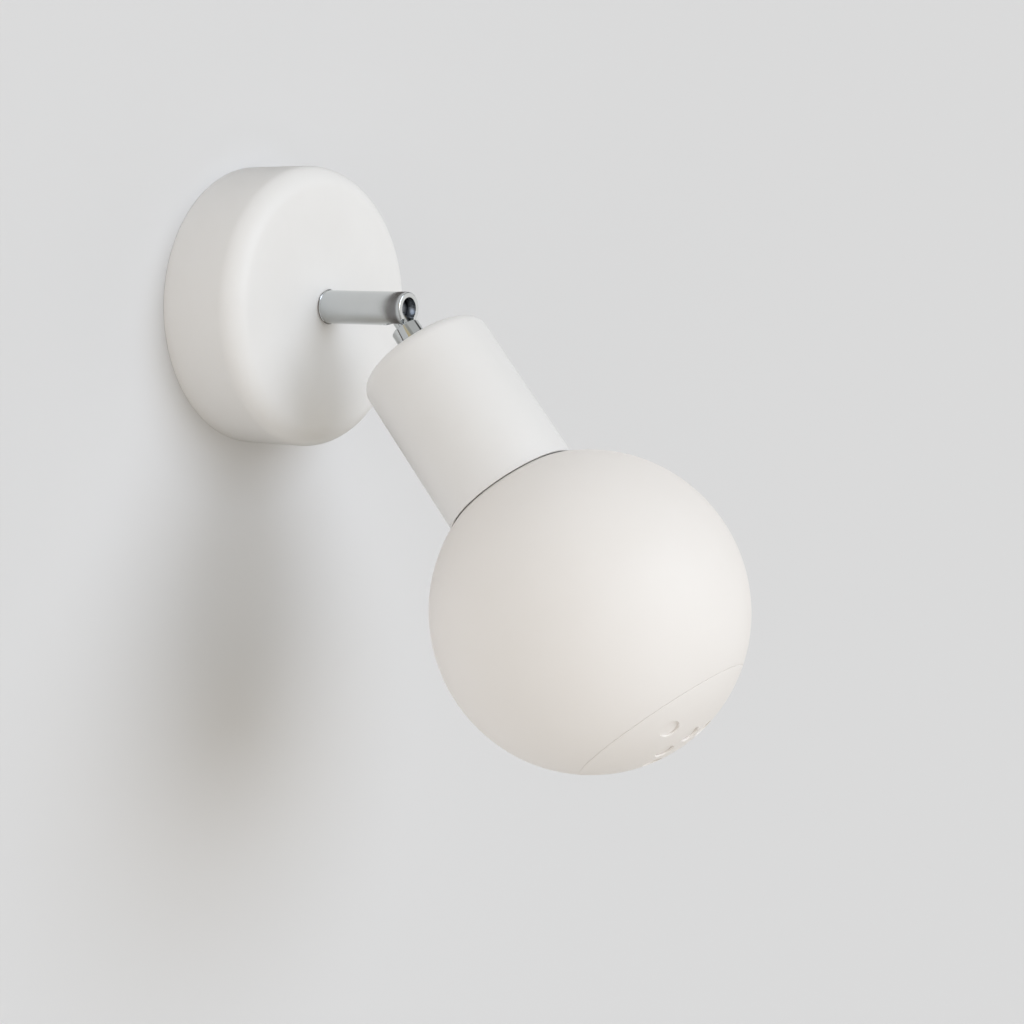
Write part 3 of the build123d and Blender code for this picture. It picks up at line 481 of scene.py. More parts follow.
# %% [markdown]
# ## A recipe for a finish
#
# Most finishes here follow one recipe. Two close tones are mixed by soft clouds, the gloss changes a
# little where hands and cloths have been, a fine relief bends the light, and edges and pockets get their
# own tone. The recipe reads Object coordinates, so the grain has a real size in metres, and it can turn
# them so that turning marks run round the axis of the piece.

# %% Recipe
ALONG_ARM = (math.radians(90), 0, 0)
ALONG_HEAD = (math.radians(-140), 0, 0)
halves_edge = 0.02 * MM
# The ball's painted shade: a dark tone within ball_skin of the pivot, fading out by ball_clear, with more
# roughness there.
ball_skin, ball_clear, ball_shade_roughness = 6.02 * MM, 6.12 * MM, 0.22


def placed_group(tree, effect, vector, **values):
    """The output of a shared effect, with its own values."""
    added = tree.nodes.new("ShaderNodeGroup")
    added.node_tree = effect
    tree.links.new(vector, added.inputs["Vector"])
    for label, value in values.items():
        added.inputs[label].default_value = value
    return added.outputs[0]


def finish(name, tones, gloss, relief, turn=None, metallic=0.0, tone_scale=60.0, edge=None, closed_corners=None,
           marks=None, streaks=None, ball=None, halves=None, **sockets):
    """A material: tones (one, other), gloss (low, high roughness), relief (scale, pores, height in mm),
    marks (scale, height in mm), edge and closed_corners (tone, width in mm), streaks (scale, stretch, share),
    ball (a dark tone painted as shade on the ball inside the tube's socket), halves (the tone left of the middle)."""
    material = bpy.data.materials.new(name)
    tree = empty_tree(material)
    place = node(tree, "TexCoord").outputs["Object"]
    if turn:
        place = node(tree, "Mapping", {"Vector": place, "Rotation": turn}).outputs["Vector"]
    shader = node(tree, "BsdfPrincipled", {"Metallic": metallic, **sockets})
    node(tree, "OutputMaterial", {"Surface": shader.outputs[0]})
    if streaks:
        share = placed_group(tree, fibres, place, Scale=streaks[0], Stretch=streaks[1])
        share = between(tree, share, 0.0, 1.0, 0.5 - streaks[2], 0.5 + streaks[2])
    else:
        share = placed_group(tree, clouds, place, Scale=tone_scale)
    colour = mixed(tree, share, *tones)
    if halves:
        sideways = node(tree, "SeparateXYZ", {"Vector": place}).outputs["X"]
        left_half = between(tree, sideways, 1.0, 0.0, -halves_edge, halves_edge)
        colour = mixed(tree, left_half, colour, halves)
    # closed_corners: a darker tone, in patches, in corners that a short ambient-occlusion test finds closed.
    if closed_corners:
        pocket = placed_group(tree, closed_corner_darkening, place, Reach=closed_corners[1] * MM)
        colour = mixed(tree, pocket, colour, closed_corners[0])
    # The edge tone is partly rubbed wear and partly a painted highlight.
    if edge:
        wear_and_glint = placed_group(tree, worn_and_glint_edges, place, Width=edge[1] * MM)
        colour = mixed(tree, wear_and_glint, colour, edge[0])
    # Painted shade: the ball's colour is made dark where it sits inside the tube's socket.
    if ball:
        own_place = node(tree, "TexCoord").outputs["Object"]
        away = measured(tree, "DISTANCE", own_place, joints["head_tilt"]["pos_m"])
        ball_shade = between(tree, away, 1.0, 0.0, ball_skin, ball_clear)
        colour = mixed(tree, ball_shade, colour, ball)
    tree.links.new(colour, shader.inputs["Base Color"])
    handled = placed_group(tree, clouds, place, Scale=tone_scale * 1.7, Low=gloss[0], High=gloss[1])
    if ball:
        handled = maths(tree, "ADD", handled, maths(tree, "MULTIPLY", ball_shade, ball_shade_roughness))
    tree.links.new(handled, shader.inputs["Roughness"])
    height = placed_group(tree, skin, place, Scale=relief[0], Pores=relief[1])
    bump = node(tree, "Bump", {"Height": height, "Distance": relief[2] * MM, "Strength": 1.0})
    if marks:
        cut = placed_group(tree, turning_marks, place, Scale=marks[0])
        inputs = {"Height": cut, "Distance": marks[1] * MM, "Strength": 1.0, "Normal": bump}
        bump = node(tree, "Bump", inputs)
    tree.links.new(bump.outputs[0], shader.inputs["Normal"])
    print("finish", name)
    return material


# %% [markdown]
# ## The finishes that show
#
# The canopy and the cover are pressed steel, powder coated in a soft white with a satin skin. The globe
# is a moulded porcelain white, warmer and a little smoother. The arm, the ball and the collar are bright
# chrome with faint polishing rings. Where the ball sits inside the tube, its colour is made dark: a painted shade.

# %% Finishes that show
# The powder's lighter edge tone is a painted highlight.
powder_white = finish(
    "powder_white", [(0.815, 0.810, 0.798), (0.800, 0.793, 0.780)], (0.42, 0.50), (1300, 0.25, 0.006),
    edge=((0.84, 0.835, 0.825), 0.35), closed_corners=((0.62, 0.59, 0.54), 1.2), tone_scale=45,
    **{"Specular IOR Level": 0.35},
)
globe_porcelain = finish(
    "globe_porcelain", [(0.872, 0.852, 0.826), (0.860, 0.838, 0.810)], (0.46, 0.54), (700, 0.1, 0.003),
    tone_scale=30,
    **{"Specular IOR Level": 0.25, "Sheen Weight": 0.30, "Sheen Roughness": 0.8,
       "Sheen Tint": (1.0, 0.93, 0.88, 1)},
)
# The head's chrome takes a dark tone on the ball, a painted shade where it sits in the tube's socket.
chrome = {
    part: finish(
        f"chrome_plate_{part}", [(0.610, 0.628, 0.632), (0.585, 0.604, 0.610)], gloss,
        (500, 0.2, 0.0006), turn=turn, metallic=1.0, marks=(5000, 0.00025), tone_scale=90, ball=ball,
    )
    for part, turn, gloss, ball in (
        ("arm", ALONG_ARM, (0.11, 0.16), None),
        ("head", ALONG_HEAD, (0.05, 0.10), (0.17, 0.18, 0.20)),
    )
}

# %% [markdown]
# ## Finishes for the pieces inside
#
# Washers, springs, screws, leads and boards stay as the CAD model made them and are seen only from behind
# or with the lamp out. Each has a finish from the same recipe: plated steel is darker in its closed corners,
# ceramic is matt, and a pair of leads has two colours, one on either side of the middle.

# %% Other finishes
plated = {"metallic": 1.0}
inner_finishes = (
    # Zinc's lighter edges are partly rubbed plating and partly a painted highlight.
    ("zinc_steel", [(0.60, 0.61, 0.61), (0.48, 0.50, 0.52)], (0.28, 0.45), (900, 0.5, 0.002),
     dict(metallic=1.0, edge=((0.78, 0.78, 0.77), 0.3), closed_corners=((0.25, 0.24, 0.22), 1.0))),
    ("spring_steel", [(0.34, 0.35, 0.38), (0.26, 0.27, 0.30)], (0.25, 0.38), (900, 0.4, 0.001), plated),
    ("plain_brass", [(0.78, 0.57, 0.25), (0.68, 0.48, 0.20)], (0.20, 0.34), (900, 0.3, 0.001),
     dict(metallic=1.0, edge=((0.88, 0.70, 0.38), 0.25))),
    ("tinned_copper", [(0.72, 0.71, 0.69), (0.62, 0.60, 0.57)], (0.28, 0.42), (700, 0.3, 0.002),
     dict(metallic=1.0, edge=((0.75, 0.46, 0.30), 0.2))),
    ("nickel_plate", [(0.68, 0.65, 0.60), (0.58, 0.55, 0.50)], (0.18, 0.30), (700, 0.3, 0.001), plated),
    ("bare_aluminium", [(0.80, 0.81, 0.82), (0.70, 0.71, 0.73)], (0.30, 0.42), (900, 0.3, 0.001),
     dict(turn=ALONG_HEAD, metallic=1.0, marks=(2500, 0.001))),
    ("fibre_brown", [(0.10, 0.050, 0.028), (0.055, 0.028, 0.018)], (0.50, 0.68), (1500, 0.8, 0.004),
     dict(streaks=(1500, 0.2, 0.2))),
    ("nylon_white", [(0.82, 0.81, 0.77), (0.76, 0.75, 0.70)], (0.38, 0.50), (800, 0.2, 0.002)),
    ("block_nylon", [(0.80, 0.79, 0.76), (0.74, 0.73, 0.69)], (0.34, 0.46), (600, 0.3, 0.004)),
    ("holder_phenolic", [(0.035, 0.028, 0.025), (0.020, 0.016, 0.015)], (0.22, 0.34), (500, 0.2, 0.003)),
    ("contact_ceramic", [(0.76, 0.73, 0.67), (0.66, 0.62, 0.56)], (0.45, 0.60), (1800, 0.8, 0.006)),
    ("insulator_black", [(0.020, 0.018, 0.024), (0.035, 0.030, 0.040)], (0.08, 0.16), (400, 0.2, 0.003)),
    ("neck_white", [(0.80, 0.79, 0.77), (0.76, 0.75, 0.72)], (0.34, 0.44), (900, 0.2, 0.003)),
    ("board_white", [(0.80, 0.80, 0.78), (0.74, 0.74, 0.72)], (0.24, 0.34), (300, 0.2, 0.004)),
    ("board_green", [(0.02, 0.14, 0.055), (0.03, 0.20, 0.08)], (0.26, 0.38), (300, 0.2, 0.006)),
    ("chip_yellow", [(0.86, 0.62, 0.08), (0.80, 0.54, 0.05)], (0.30, 0.42), (900, 0.2, 0.002)),
    ("component_black", [(0.030, 0.030, 0.032), (0.050, 0.050, 0.052)], (0.40, 0.55), (900, 0.5, 0.003)),
    ("lead_insulation", [(0.16, 0.07, 0.03), (0.12, 0.05, 0.02)], (0.32, 0.42), (700, 0.2, 0.002),
     dict(halves=(0.03, 0.12, 0.34))),
    ("earth_insulation", [(0.07, 0.33, 0.08), (0.05, 0.28, 0.06)], (0.32, 0.42), (700, 0.2, 0.002),
     dict(halves=(0.72, 0.60, 0.06))),
    ("wire_white", [(0.80, 0.79, 0.76), (0.74, 0.73, 0.70)], (0.34, 0.44), (700, 0.2, 0.002)),
)
finishes = {}
for name, tones, gloss, relief, *more in inner_finishes:
    finishes[name] = finish(name, tones, gloss, relief, **dict(*more))
finishes |= {
    "powder_white": powder_white,
    "globe_porcelain": globe_porcelain,
    "chrome_plate": chrome["arm"],
}
for name, slot in slots.items():
    nodes[name].data.materials.clear()
    nodes[name].data.materials.append(finishes[slot])

# %% [markdown]
# ## The canopy
#
# The canopy is a shallow cup, drawn from a round steel blank: a flat face, a generous rounded edge and a
# straight side that ends at the wall. Its outline, with both sides of the sheet, is turned about the line
# out of the wall. Two small holes in the side take the grub screws, so two windows are left out of the
# turned grid, and each is filled by a grid that goes from the round hole to the window's edge.

# %% Windows with holes
def ruled(rim, edge, steps):
    """Rows of points from one line to another: (1 - s) times the rim's point plus s times the edge's."""
    share = np.linspace(0, 1, steps + 1)[:, None, None]
    return rim * (1 - share) + edge * share


def window(across, along, centre, radius, steps=6):
    """A grid from a round hole out to the edge of a rectangular window, in flat (across, along) places.

    Each point of the window's edge is joined to the rim's point in the same direction from the centre.
    """
    edge = np.concatenate([
        np.stack([across, 0 * across + along[0]], 1)[:-1],
        np.stack([0 * along + across[-1], along], 1)[:-1],
        np.stack([across[::-1], 0 * across + along[-1]], 1)[:-1],
        np.stack([0 * along + across[0], along[::-1]], 1),
    ])
    bearing = np.arctan2(edge[:, 1] - centre[1], edge[:, 0] - centre[0])
    rim = np.array(centre) + radius * np.stack([np.cos(bearing), np.sin(bearing)], 1)
    return ruled(rim, edge, steps)


def left_round(grid, bands, gaps):
    """What is left of a turned grid round its windows; bands are row ranges, gaps are column ranges."""
    parts, row = [], 0
    for first, last in bands:
        parts.append(grid[row:first + 1])
        column = 0
        for left, right in gaps:
            parts.append(grid[first:last + 1, column:left + 1])
            column = right
        parts.append(grid[first:last + 1, column:])
        row = last
    return parts + [grid[row:]]


# %% Canopy
canopy_radius, canopy_depth, canopy_wall = 60.0, 38.0, 1.5
canopy_edge, canopy_hole = 9.5, 5.08
grub_height, grub_hole = 9.0, 2.1
columns = 144
window_half = 5
window_rows = np.linspace(grub_height - window_half, grub_height + window_half, 5)
inner_radius = canopy_radius - canopy_wall
corners = [(canopy_hole, canopy_depth), (canopy_radius, canopy_depth)]
corners += [(canopy_radius, height) for height in window_rows[::-1]]
corners += [(canopy_radius, 0), (inner_radius, 0)]
corners += [(inner_radius, height) for height in window_rows]
corners += [(inner_radius, canopy_depth - canopy_wall), (canopy_hole, canopy_depth - canopy_wall)]
radii = [0.3, canopy_edge] + [0] * 5 + [0.2, 0.4] + [0] * 5 + [canopy_edge - canopy_wall, 0]
outline = rounded(corners, radii, steps=12)
canopy_grid = turned(outline, WALL, columns)
outer_row, inner_row = (
    int(np.argmax(np.isclose(outline, place).all(1)))
    for place in ((canopy_radius, window_rows[-1]), (inner_radius, window_rows[0]))
)
gaps = [(34, 38), (106, 110)]
grids = left_round(canopy_grid, [(outer_row, outer_row + 4), (inner_row, inner_row + 4)], gaps)
for left, right in gaps:
    across = np.radians(np.linspace(left, right, right - left + 1) * 360 / columns)
    mid = across.mean()
    sides = []
    for radius in (canopy_radius, inner_radius):
        flat = window((across - mid) * canopy_radius, window_rows, (0, grub_height), grub_hole)
        flat[..., 0] = flat[..., 0] / canopy_radius + mid
        sides.append(placed(polar(radius, flat[..., 0], flat[..., 1]), WALL))
    grids += sides + [np.stack([sides[0][0], sides[1][0]])]
made("canopy_shell", grids, "canopy")

# %% [markdown]
# ## The lamp cover
#
# The cover is a deep drawn cylinder, closed and rounded where the collar carries it and open towards the
# globe. It is one outline turned about the head's line, with the sheet folded back as a tiny round at
# the rim.

# %% Lamp cover
cover_start, cover_rim = 23.6, 94.05
cover_radius, cover_wall, cover_edge = 28.5, 1.2, 5.4
roof = cover_start + cover_wall
corners = [
    (5.1, cover_start), (cover_radius, cover_start), (cover_radius, cover_rim),
    (cover_radius - cover_wall, cover_rim), (cover_radius - cover_wall, roof), (5.1, roof),
]
outline = rounded(corners, [0.2, cover_edge, 0.3, 0.3, cover_edge - cover_wall, 0], steps=12)
made("lamp_cover_shell", [turned(outline, HEAD, 192)], "lamp_cover")

# %% [markdown]
# ## The arm
#
# The arm is a chromed tube, and the part that takes the most skill on the real light: its end holds the
# ball in a round seat, and a slot under it lets the neck of the ball swing down. A plain turned surface
# can't have a slot, so every point of the outline is turned through a little less than a full circle.
# The missing angle is 2 asin(w / r), where w is half the slot's width at that place, and two ruled walls
# close the slot between the outside and the bore.

# %% Slotted tube
tube_base, tube_end, pivot = 38.6, 80.3, 71.6
end_radius, lip = 7.1, 0.7
foot_face, foot_radius, foot_height = 7.36, 7.46, 0.05
bore, mouth, slot_half = 6.08, 4.85, 3.4
seat_angle = math.acos(mouth / bore)
quarter = math.pi / 2
slot_heights = np.concatenate([
    pivot - slot_half * np.cos(np.linspace(0, quarter, 13)),
    pivot + bore * np.sin(np.linspace(0, seat_angle, 10))[1:],
    np.linspace(pivot + bore * math.sin(seat_angle), tube_end - lip, 4)[1:],
    tube_end - lip + lip * np.sin(np.linspace(0, quarter, 8))[1:],
])


def outside(height):
    """The tube's outer radius: straight, then a quarter circle at the lip."""
    into_lip = np.clip((height - (tube_end - lip)) / lip, 0, 1)
    return end_radius - lip + lip * np.sqrt(1 - into_lip**2)


def inside(height):
    """The bore's radius: straight to the ball's centre, then the ball's seat, then the mouth."""
    seat = np.sqrt(np.maximum(bore**2 - np.maximum(height - pivot, 0) ** 2, mouth**2))
    return np.where(height > pivot + bore * math.sin(seat_angle), mouth, seat)


def slot_width(height):
    """Half the slot's width: a half round about the ball's centre, then straight to the end."""
    return np.sqrt(np.maximum(slot_half**2 - np.maximum(pivot - height, 0) ** 2, 0))


plain_heights = np.linspace(tube_base + 0.35, slot_heights[0], 6)[:-1]
outer_heights = np.concatenate([plain_heights, slot_heights])
back_down = outer_heights[::-1]
foot = np.array([[bore, tube_base], [foot_face, tube_base], [foot_radius, tube_base + foot_height]])
loop_radius = np.concatenate([foot[:, 0], outside(outer_heights), inside(back_down), [bore]])
loop_height = np.concatenate([foot[:, 1], outer_heights, back_down, [tube_base]])
half_missing = np.arcsin(slot_width(loop_height) / loop_radius)[:, None]
share = np.linspace(0, 1, columns + 1)
angle = half_missing + share * (2 * math.pi - 2 * half_missing)
tube_grids = [placed(polar(loop_radius[:, None], angle - quarter, loop_height[:, None]), WALL)]
width = slot_width(slot_heights)
for side in (-1, 1):
    edges = []
    for face in (outside, inside):
        depth = np.sqrt(face(slot_heights) ** 2 - width**2)
        edges.append(np.stack([side * width, -depth, slot_heights], 1))
    tube_grids.append(placed(np.stack(edges, 1), WALL))
made("arm_tube_slotted", tube_grids, "arm_tube", 50, bevel=0.2)

# %% [markdown]
# ## The ball, its neck and the collar
#
# One chromed bar is turned into a ball, a thin neck and a thick collar, and bored for the two leads. The
# ball is part of a circle in the outline, and the collar's edges are given small rounds.

# %% Ball stem
ball, neck, neck_bore, flare = 6.0, 3.2, 2.3, 4.2
collar, collar_start, collar_end, collar_edge = 6.3, 10.7, 23.2, 0.5
ball_side = arc(ball, 0, math.pi - math.asin(flare / ball), math.asin(neck / ball), 40)
low = ball_side[0, 1]
rest = rounded(
    [(neck, 7.0), (neck, collar_start), (collar, collar_start), (collar, collar_end), (5.08, collar_end),
     (5.08, 14.0), (neck_bore, 14.0), (neck_bore, low + 2.8)],
    [0, 0.5, collar_edge, collar_edge, 0, 0, 0, 0], steps=5,
)
stem_grid = turned(np.concatenate([ball_side, rest]), HEAD, 128)
made("ball_and_neck", [stem_grid], "ball_stem", 28, material=chrome["head"])

# %% [markdown]
# ## The globe
#
# The globe is a thin ball in two mouldings. The larger one ends at a seam, and the end cap that closes
# it has six small vents round its pole and three further out. On a ball a window is easiest in angles:
# one angle from the pole and one round it. The hole is a true circle, so its rim is the hole's direction
# turned by a fixed angle, and the points in between are drawn straight and pushed out to the ball.

# %% Globe shell
globe_radius, globe_wall = 62.5, 1.6
globe_height = 150.50
mouth_radius, seam_radius, seam_gap = 21.0, 37.4, 0.036
inner_globe = globe_radius - globe_wall
seam_middle = math.sqrt(globe_radius**2 - seam_radius**2)
seam_edge = 0.1


def at_seam(radius, side):
    """The angle from the pole where a ball of that radius meets a face of the seam; side is 1 or -1."""
    return math.acos((seam_middle + side * seam_gap / 2) / radius)


def seam_corner(side):
    """The outer edge of the seam with a small round, from the ball's skin towards its inside."""
    outer, inner = at_seam(globe_radius, side), at_seam(inner_globe, side)
    before = arc(globe_radius, globe_height, outer - side * 0.02, outer, 1)
    after = arc(inner_globe, globe_height, inner, inner, 0)
    return rounded(np.concatenate([before, after]), [0, seam_edge, 0], 4)


seam_side = -1
outer_mouth = math.pi - math.asin(mouth_radius / globe_radius)
inner_mouth = math.pi - math.asin(mouth_radius / inner_globe)
outline = np.concatenate([
    arc(globe_radius, globe_height, outer_mouth, at_seam(globe_radius, seam_side) + 0.03, 90),
    seam_corner(seam_side),
    arc(inner_globe, globe_height, at_seam(inner_globe, seam_side) + 0.02, inner_mouth, 60),
])
made("globe_ball", [turned(outline, HEAD, 192)], "globe_shell", 40)

# %% Vent windows on a ball
def directions(from_pole, round_pole):
    """Unit directions from the angle to the pole and the angle round it."""
    return polar(np.sin(from_pole), round_pole, np.cos(from_pole))


def vent_window(centre, from_pole, round_pole, sine, steps=5):
    """A grid of unit directions from a round vent to the edge of its window."""
    flat = window(round_pole, from_pole, (centre[1], centre[0]), 0.0)[-1]
    edge = directions(flat[:, 1], flat[:, 0])
    middle = directions(*centre)
    away = directions(centre[0] + quarter, centre[1])
    sideways = np.cross(middle, away)
    bearing = np.arctan2(edge @ sideways, edge @ away)[:, None]
    rim = middle * math.sqrt(1 - sine**2) + sine * (away * np.cos(bearing) + sideways * np.sin(bearing))
    grid = ruled(rim, edge, steps)
    return grid / np.linalg.norm(grid, axis=-1, keepdims=True)


def on_ball(grid, radius):
    """Directions carried out to a ball about the globe's centre."""
    return placed(grid * radius + (0, 0, globe_height), HEAD)


# %% [markdown]
# ## The end cap and its baffle
#
# The cap is moulded like the globe and is thinner where the vents are. Its perforated part is a map of
# rows and columns on the ball, in which every vent takes one window, and the rest is an outline turned as
# before. Air can pass the vents, but nobody should see the chips through them, so a dish sits behind
# them: a plain turned shell, as on the real lamp.

# %% Globe end cap
vent_radius, vent_phase = 4.0, 148.4
inner_ring, outer_ring = 11.5, 25.5
near_pitch, near_half = 24, 12
far_pitch, far_half = 48, 8
step = math.radians(2.5)
pole_rows = np.radians([0.0, 2.5, 5.0])
inner_rows = np.radians(np.arange(5.0, 17.5, 1.25))[:10]
outer_rows = np.radians(np.arange(18.75, 30.0, 1.25))[:9]
band_end = outer_rows[-1]
start = math.radians(vent_phase)
turns = start + step * np.arange(145)
ring_angle, far_angle = math.asin(inner_ring / globe_radius), math.asin(outer_ring / globe_radius)
thin_face = globe_radius - 0.9
cap_grids = []
rims = {}
for radius in (globe_radius, thin_face):
    sine = vent_radius / radius
    plain = [(pole_rows, turns), (np.array([inner_rows[-1], outer_rows[0]]), turns)]
    holes = [(ring_angle, vent * near_pitch + near_half, inner_rows, near_half) for vent in range(6)]
    holes += [(far_angle, vent * far_pitch, outer_rows, far_half) for vent in range(3)]
    for vent in range(3):
        first = vent * far_pitch + far_half
        plain.append((outer_rows, turns[first:first + far_pitch - 2 * far_half + 1]))
    for rows, around in plain:
        cap_grids.append(on_ball(directions(rows[:, None], around[None, :]), radius))
    for number, (tilt, column, rows, half) in enumerate(holes):
        around = start + step * np.arange(column - half, column + half + 1)
        grid = on_ball(vent_window((tilt, start + step * column), rows, around, sine), radius)
        cap_grids.append(grid)
        rims.setdefault(number, []).append(grid[0])
cap_grids += [np.stack(pair) for pair in rims.values()]

spigot_outer, spigot_inner = 32.96, 31.56
spigot_foot = globe_height + seam_middle - 3.0
spigot = [(spigot_outer, spigot_foot + 1), (spigot_outer, spigot_foot)]
spigot += [(spigot_inner, spigot_foot), (spigot_inner, spigot_foot + 1)]
spigot_angle = math.asin(spigot_outer / inner_globe)
skirt = np.concatenate([
    arc(globe_radius, globe_height, band_end, at_seam(globe_radius, 1) - 0.03, 6),
    seam_corner(1),
    arc(inner_globe, globe_height, at_seam(inner_globe, 1) - 0.01, spigot_angle, 4),
    rounded(spigot, [0, 0.4, 0.4, 0], 4),
    arc(inner_globe, globe_height, math.asin(spigot_inner / inner_globe), band_end, 2),
    arc(thin_face, globe_height, band_end, band_end, 0),
])
cap_grids.append(placed(polar(skirt[:, :1], turns, skirt[:, 1:]), HEAD))
made("globe_vented_cap", cap_grids, "globe_end_cap", 45, bevel=0.42)

# %% Vent baffle
baffle_outer, baffle_thickness, baffle_radius = thin_face - 0.02, 1.0, 29.3
baffle_inner = baffle_outer - baffle_thickness
outline = np.concatenate([
    arc(baffle_outer, globe_height, 0, math.asin(baffle_radius / baffle_outer), 30),
    arc(baffle_inner, globe_height, math.asin(baffle_radius / baffle_inner), 0, 20),
])
made("vent_baffle_dish", [turned(outline, HEAD, 96)[:-1]], "vent_baffle")

# %% [markdown]
# ## Threads, nuts and flutes
#
# The pieces inside are turned too, but something changes round the line: a thread climbs, a nut has six
# flats, the lampholder has grip flutes. So the outline is turned as before, and a small rule then changes
# each point's radius from its angle and height. The rules only take material away, so every piece stays
# inside the size that the CAD model gives it.

# %% Rules for the radius
def fine(corners, longest):
    """A closed outline with points added, so that no side is longer than the given length."""
    corners = np.array(corners, float)
    parts = []
    for here, there in zip(corners, np.roll(corners, -1, 0)):
        count = max(1, math.ceil(np.linalg.norm(there - here) / longest))
        parts.append(here + (there - here) * np.linspace(0, 1, count, endpoint=False)[:, None])
    return np.concatenate(parts)


def faded(height, low, high, length):
    """A share that rises from 0 at the low end to 1 over that length, and falls again to the high end."""
    return np.clip(np.minimum(height - low, high - height) / length, 0, 1)


def thread(low, high, pitch, depth, least=0.0):
    """A rule: a round thread between two heights, for points whose radius is over least.

    The radius falls by depth * (1 - cos(2 pi (height / pitch - turns))) / 2, faded over half a pitch at
    each end.
    """
    def rule(radius, angle, height):
        wave = (1 - np.cos(2 * math.pi * height / pitch - angle)) / 2
        return radius - (radius > least) * faded(height, low, high, pitch / 2) * depth * wave
    return rule


# %% Lamp cap and holder shell with their rolled thread
rolled_pitch, cap_depth, shell_depth = 3.62, 0.8, 0.25
corners = [(10.0, 52.7), (13.0, 55.7), (13.0, 77.7), (12.6, 77.7), (12.6, 55.9), (9.6, 52.8)]
grid = turned(fine(corners, 0.30), HEAD, 112, thread(56.2, 74.6, rolled_pitch, cap_depth))
made("lamp_cap_rolled", [grid], "lamp_cap", 50)
corners = [(8.5, 46.9), (13.8, 46.9), (13.8, 73.9), (13.45, 73.9), (13.45, 47.4), (8.5, 47.4)]
grid = turned(fine(corners, 0.34), HEAD, 112, thread(49.0, 73.0, rolled_pitch, shell_depth, 13.0))
made("holder_shell_rolled", [grid], "holder_thread_shell", 50)

# %% Hollow threaded studs of the arm and the head
stud_pitch, stud_depth, stud_skin = 1.0, 0.30, 4.9
corners = [
    (3.3, 26.2), (3.5, 26.0), (4.7, 26.0), (5.0, 26.3), (5.0, 38.6),
    (6.03, 38.6), (6.03, 48.1), (5.53, 48.6), (3.8, 48.6), (3.3, 48.1),
]
grid = turned(fine(corners, 0.13), WALL, 72, thread(26.3, 38.2, stud_pitch, stud_depth, stud_skin))
made("arm_stud_threaded", [grid], "arm_nipple", 45)
corners = [
    (3.0, 14.5), (3.2, 14.3), (4.7, 14.3), (5.0, 14.6),
    (5.0, 35.1), (4.7, 35.4), (3.2, 35.4), (3.0, 35.2),
]
grid = turned(fine(corners, 0.13), HEAD, 72, thread(14.6, 35.1, stud_pitch, stud_depth, stud_skin))
made("head_stud_threaded", [grid], "head_nipple", 45)

# %% Hexagon nuts
def hexagon(flats):
    """A rule: no point is further out than a hexagon with corners on the first direction."""
    def rule(radius, angle, height):
        side = np.remainder(angle, math.pi / 3) - math.pi / 6
        return np.minimum(radius, flats / 2 / np.cos(side))
    return rule


across_flats, thread_bore, bore_edge = 14.0, 5.05, 0.45
face_radius, corner_radius, corner_drop = 7.1, 8.1, 0.58
for low, high, axes, node_name in ((28.2, 31.7, WALL, "swivel_nut"), (25.6, 28.6, HEAD, "head_nut")):
    corners = [
        (thread_bore, low + bore_edge), (thread_bore + bore_edge, low), (face_radius, low),
        (corner_radius, low + corner_drop), (corner_radius, high - corner_drop), (face_radius, high),
        (thread_bore + bore_edge, high), (thread_bore, high - bore_edge),
    ]
    grid = turned(fine(corners, 0.16), axes, 144, hexagon(across_flats))
    made(f"{node_name}_chamfered", [grid], node_name, 28)

# %% Lampholder sleeve with grip flutes
run_out = 1.5


def flutes(count, low, high, depth, least):
    """A rule: round grooves along the sleeve, |sin| across each one, that run out at both ends."""
    def rule(radius, angle, height):
        groove = 1 - np.abs(np.sin(count * angle / 2))
        return radius - (radius > least) * faded(height, low, high, run_out) * depth * groove**2
    return rule


corners = [
    (15.85, 42.9), (17.6, 42.9), (17.6, 46.9), (19.5, 46.9),
    (19.5, 74.9), (14.1, 74.9), (14.1, 46.9), (15.85, 46.9),
]
outline = fine(rounded(corners, [0, 0.2, 0, 0.3, 1.0, 0.5, 0, 0], steps=5), 1.0)
grid = turned(outline, HEAD, 288, flutes(36, 50.0, 72.0, 0.55, 19.0))
made("holder_sleeve_fluted", [grid], "holder_skirt", 40)

# %% [markdown]
# ## The wall bracket
#
# The bracket is one strip of zinc plated steel: slots and holes are punched in the flat strip, and then
# its ends are bent up. The piece is made in the same order. The flat pattern has a window for every hole,
# as wide as the strip, and the whole pattern is then folded: along the strip a point first runs straight,
# then round the bend, then up the ear.

# %% Flat pattern
strip_half, strip_thickness, ear_face, ear_height = 10.0, 1.5, 57.34, 14.0
bend = 2.2
bend_start = ear_face - bend
bend_length = bend * math.pi / 2
strip_end = bend_start + bend_length + ear_height - bend
ear_hole = bend_start + bend_length + grub_height - bend


def punched(across, along, middle, radius, half_length=0.0, steps=4):
    """A window round a slot: every edge point is joined to the slot's rim nearest to it.

    The nearest place on the slot's own middle line is found first, and the rim is one radius from it.
    """
    edge = window(across, along, (0.0, middle), 0.0)[-1]
    core = np.stack([0 * edge[:, 0], np.clip(edge[:, 1], middle - half_length, middle + half_length)], 1)
    outwards = edge - core
    return ruled(core + radius * outwards / np.linalg.norm(outwards, axis=1, keepdims=True), edge, steps)


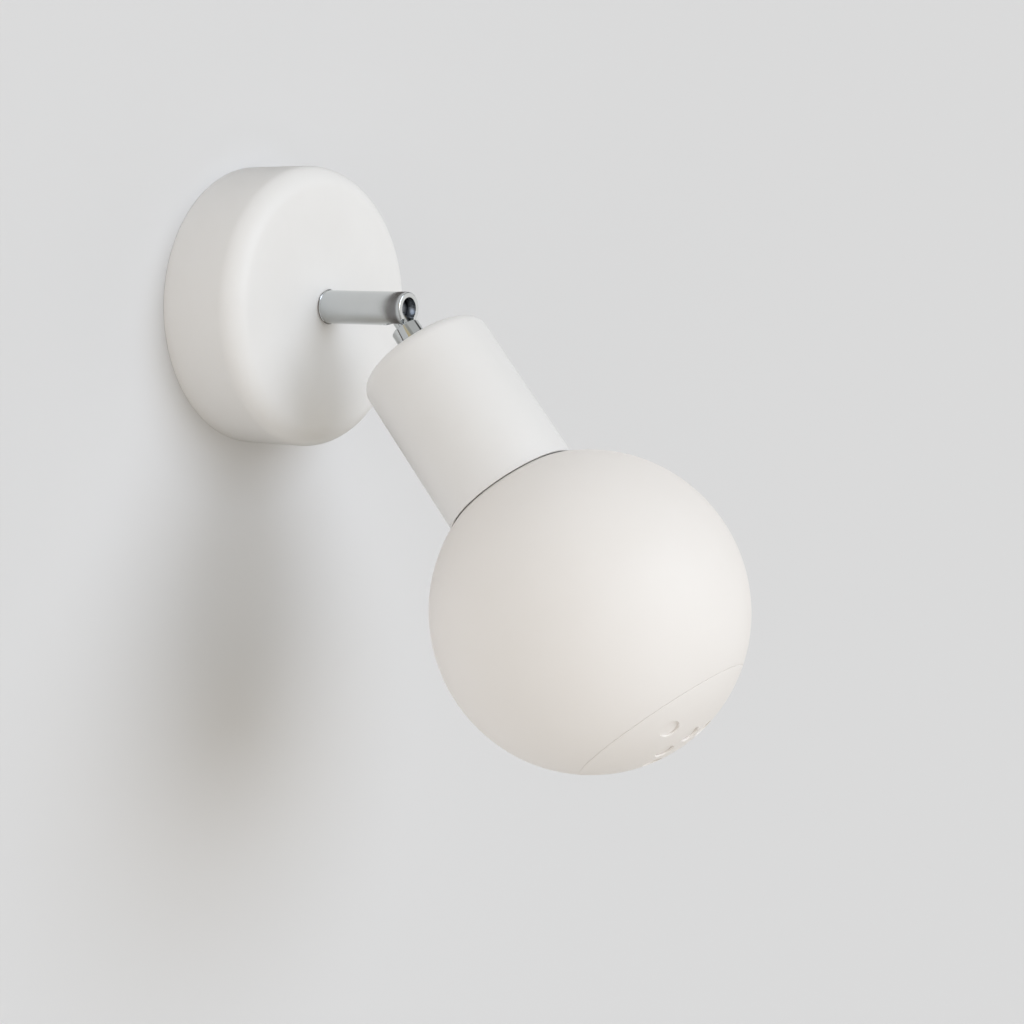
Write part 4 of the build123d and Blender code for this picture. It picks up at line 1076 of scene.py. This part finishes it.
def folded(flat, depth):
    """The flat pattern bent up at both ends; depth is the distance from the face on the wall side."""
    along = np.abs(flat[..., 1])
    angle = np.clip((along - bend_start) / bend, 0, math.pi / 2)
    straight = np.minimum(along, bend_start)
    rise = np.maximum(along - bend_start - bend_length, 0)
    out = straight + (bend - depth) * np.sin(angle)
    height = bend - (bend - depth) * np.cos(angle) + rise
    return placed(np.stack([flat[..., 0], np.sign(flat[..., 1]) * out, height], -1), WALL)


def both_faces(flat):
    """The face on the wall side and the other face, over one flat pattern."""
    return [folded(flat, 0), folded(flat, strip_thickness)]


# %% Wall bracket
strip_across = np.linspace(-strip_half, strip_half, 17)
longest_row = 0.8
holes = [
    (-ear_hole, 2.05, 0.0, 3.6), (-35.0, 2.5, 3.5, 9.0), (-16.0, 2.0, 0.0, 5.0), (16.0, 2.1, 0.0, 5.0),
    (35.0, 2.5, 3.5, 9.0), (ear_hole, 2.05, 0.0, 3.6), (strip_end, 0, 0, 0),
]
strip_grids, long_edge, place = [], [], -strip_end
for middle, radius, half_length, half_window in holes:
    start = middle - half_window
    plain = np.linspace(place, start, max(2, math.ceil((start - place) / longest_row)))
    strip_grids += both_faces(np.stack(np.meshgrid(strip_across, plain), -1))
    long_edge.append(plain)
    place = middle + half_window
    if radius:
        beside = np.linspace(start, place, 17)
        flat = punched(strip_across, beside, middle, radius, half_length)
        strip_grids += both_faces(flat) + [np.stack(both_faces(flat[0]))]
        long_edge.append(beside)
long_edge = np.unique(np.round(np.concatenate(long_edge), 9))
edges = [np.stack([0 * long_edge + side, long_edge], 1) for side in (-strip_half, strip_half)]
edges += [np.stack([strip_across, 0 * strip_across + end], 1) for end in (-strip_end, strip_end)]
strip_grids += [np.stack(both_faces(edge)) for edge in edges]
made("wall_bracket_bent", strip_grids, "wall_bracket", 35, bevel=0.15)

# %% [markdown]
# ## The last step
#
# The Standard view shows colours as they are written.

# %% Finish
bpy.context.scene.view_settings.view_transform = "Standard"
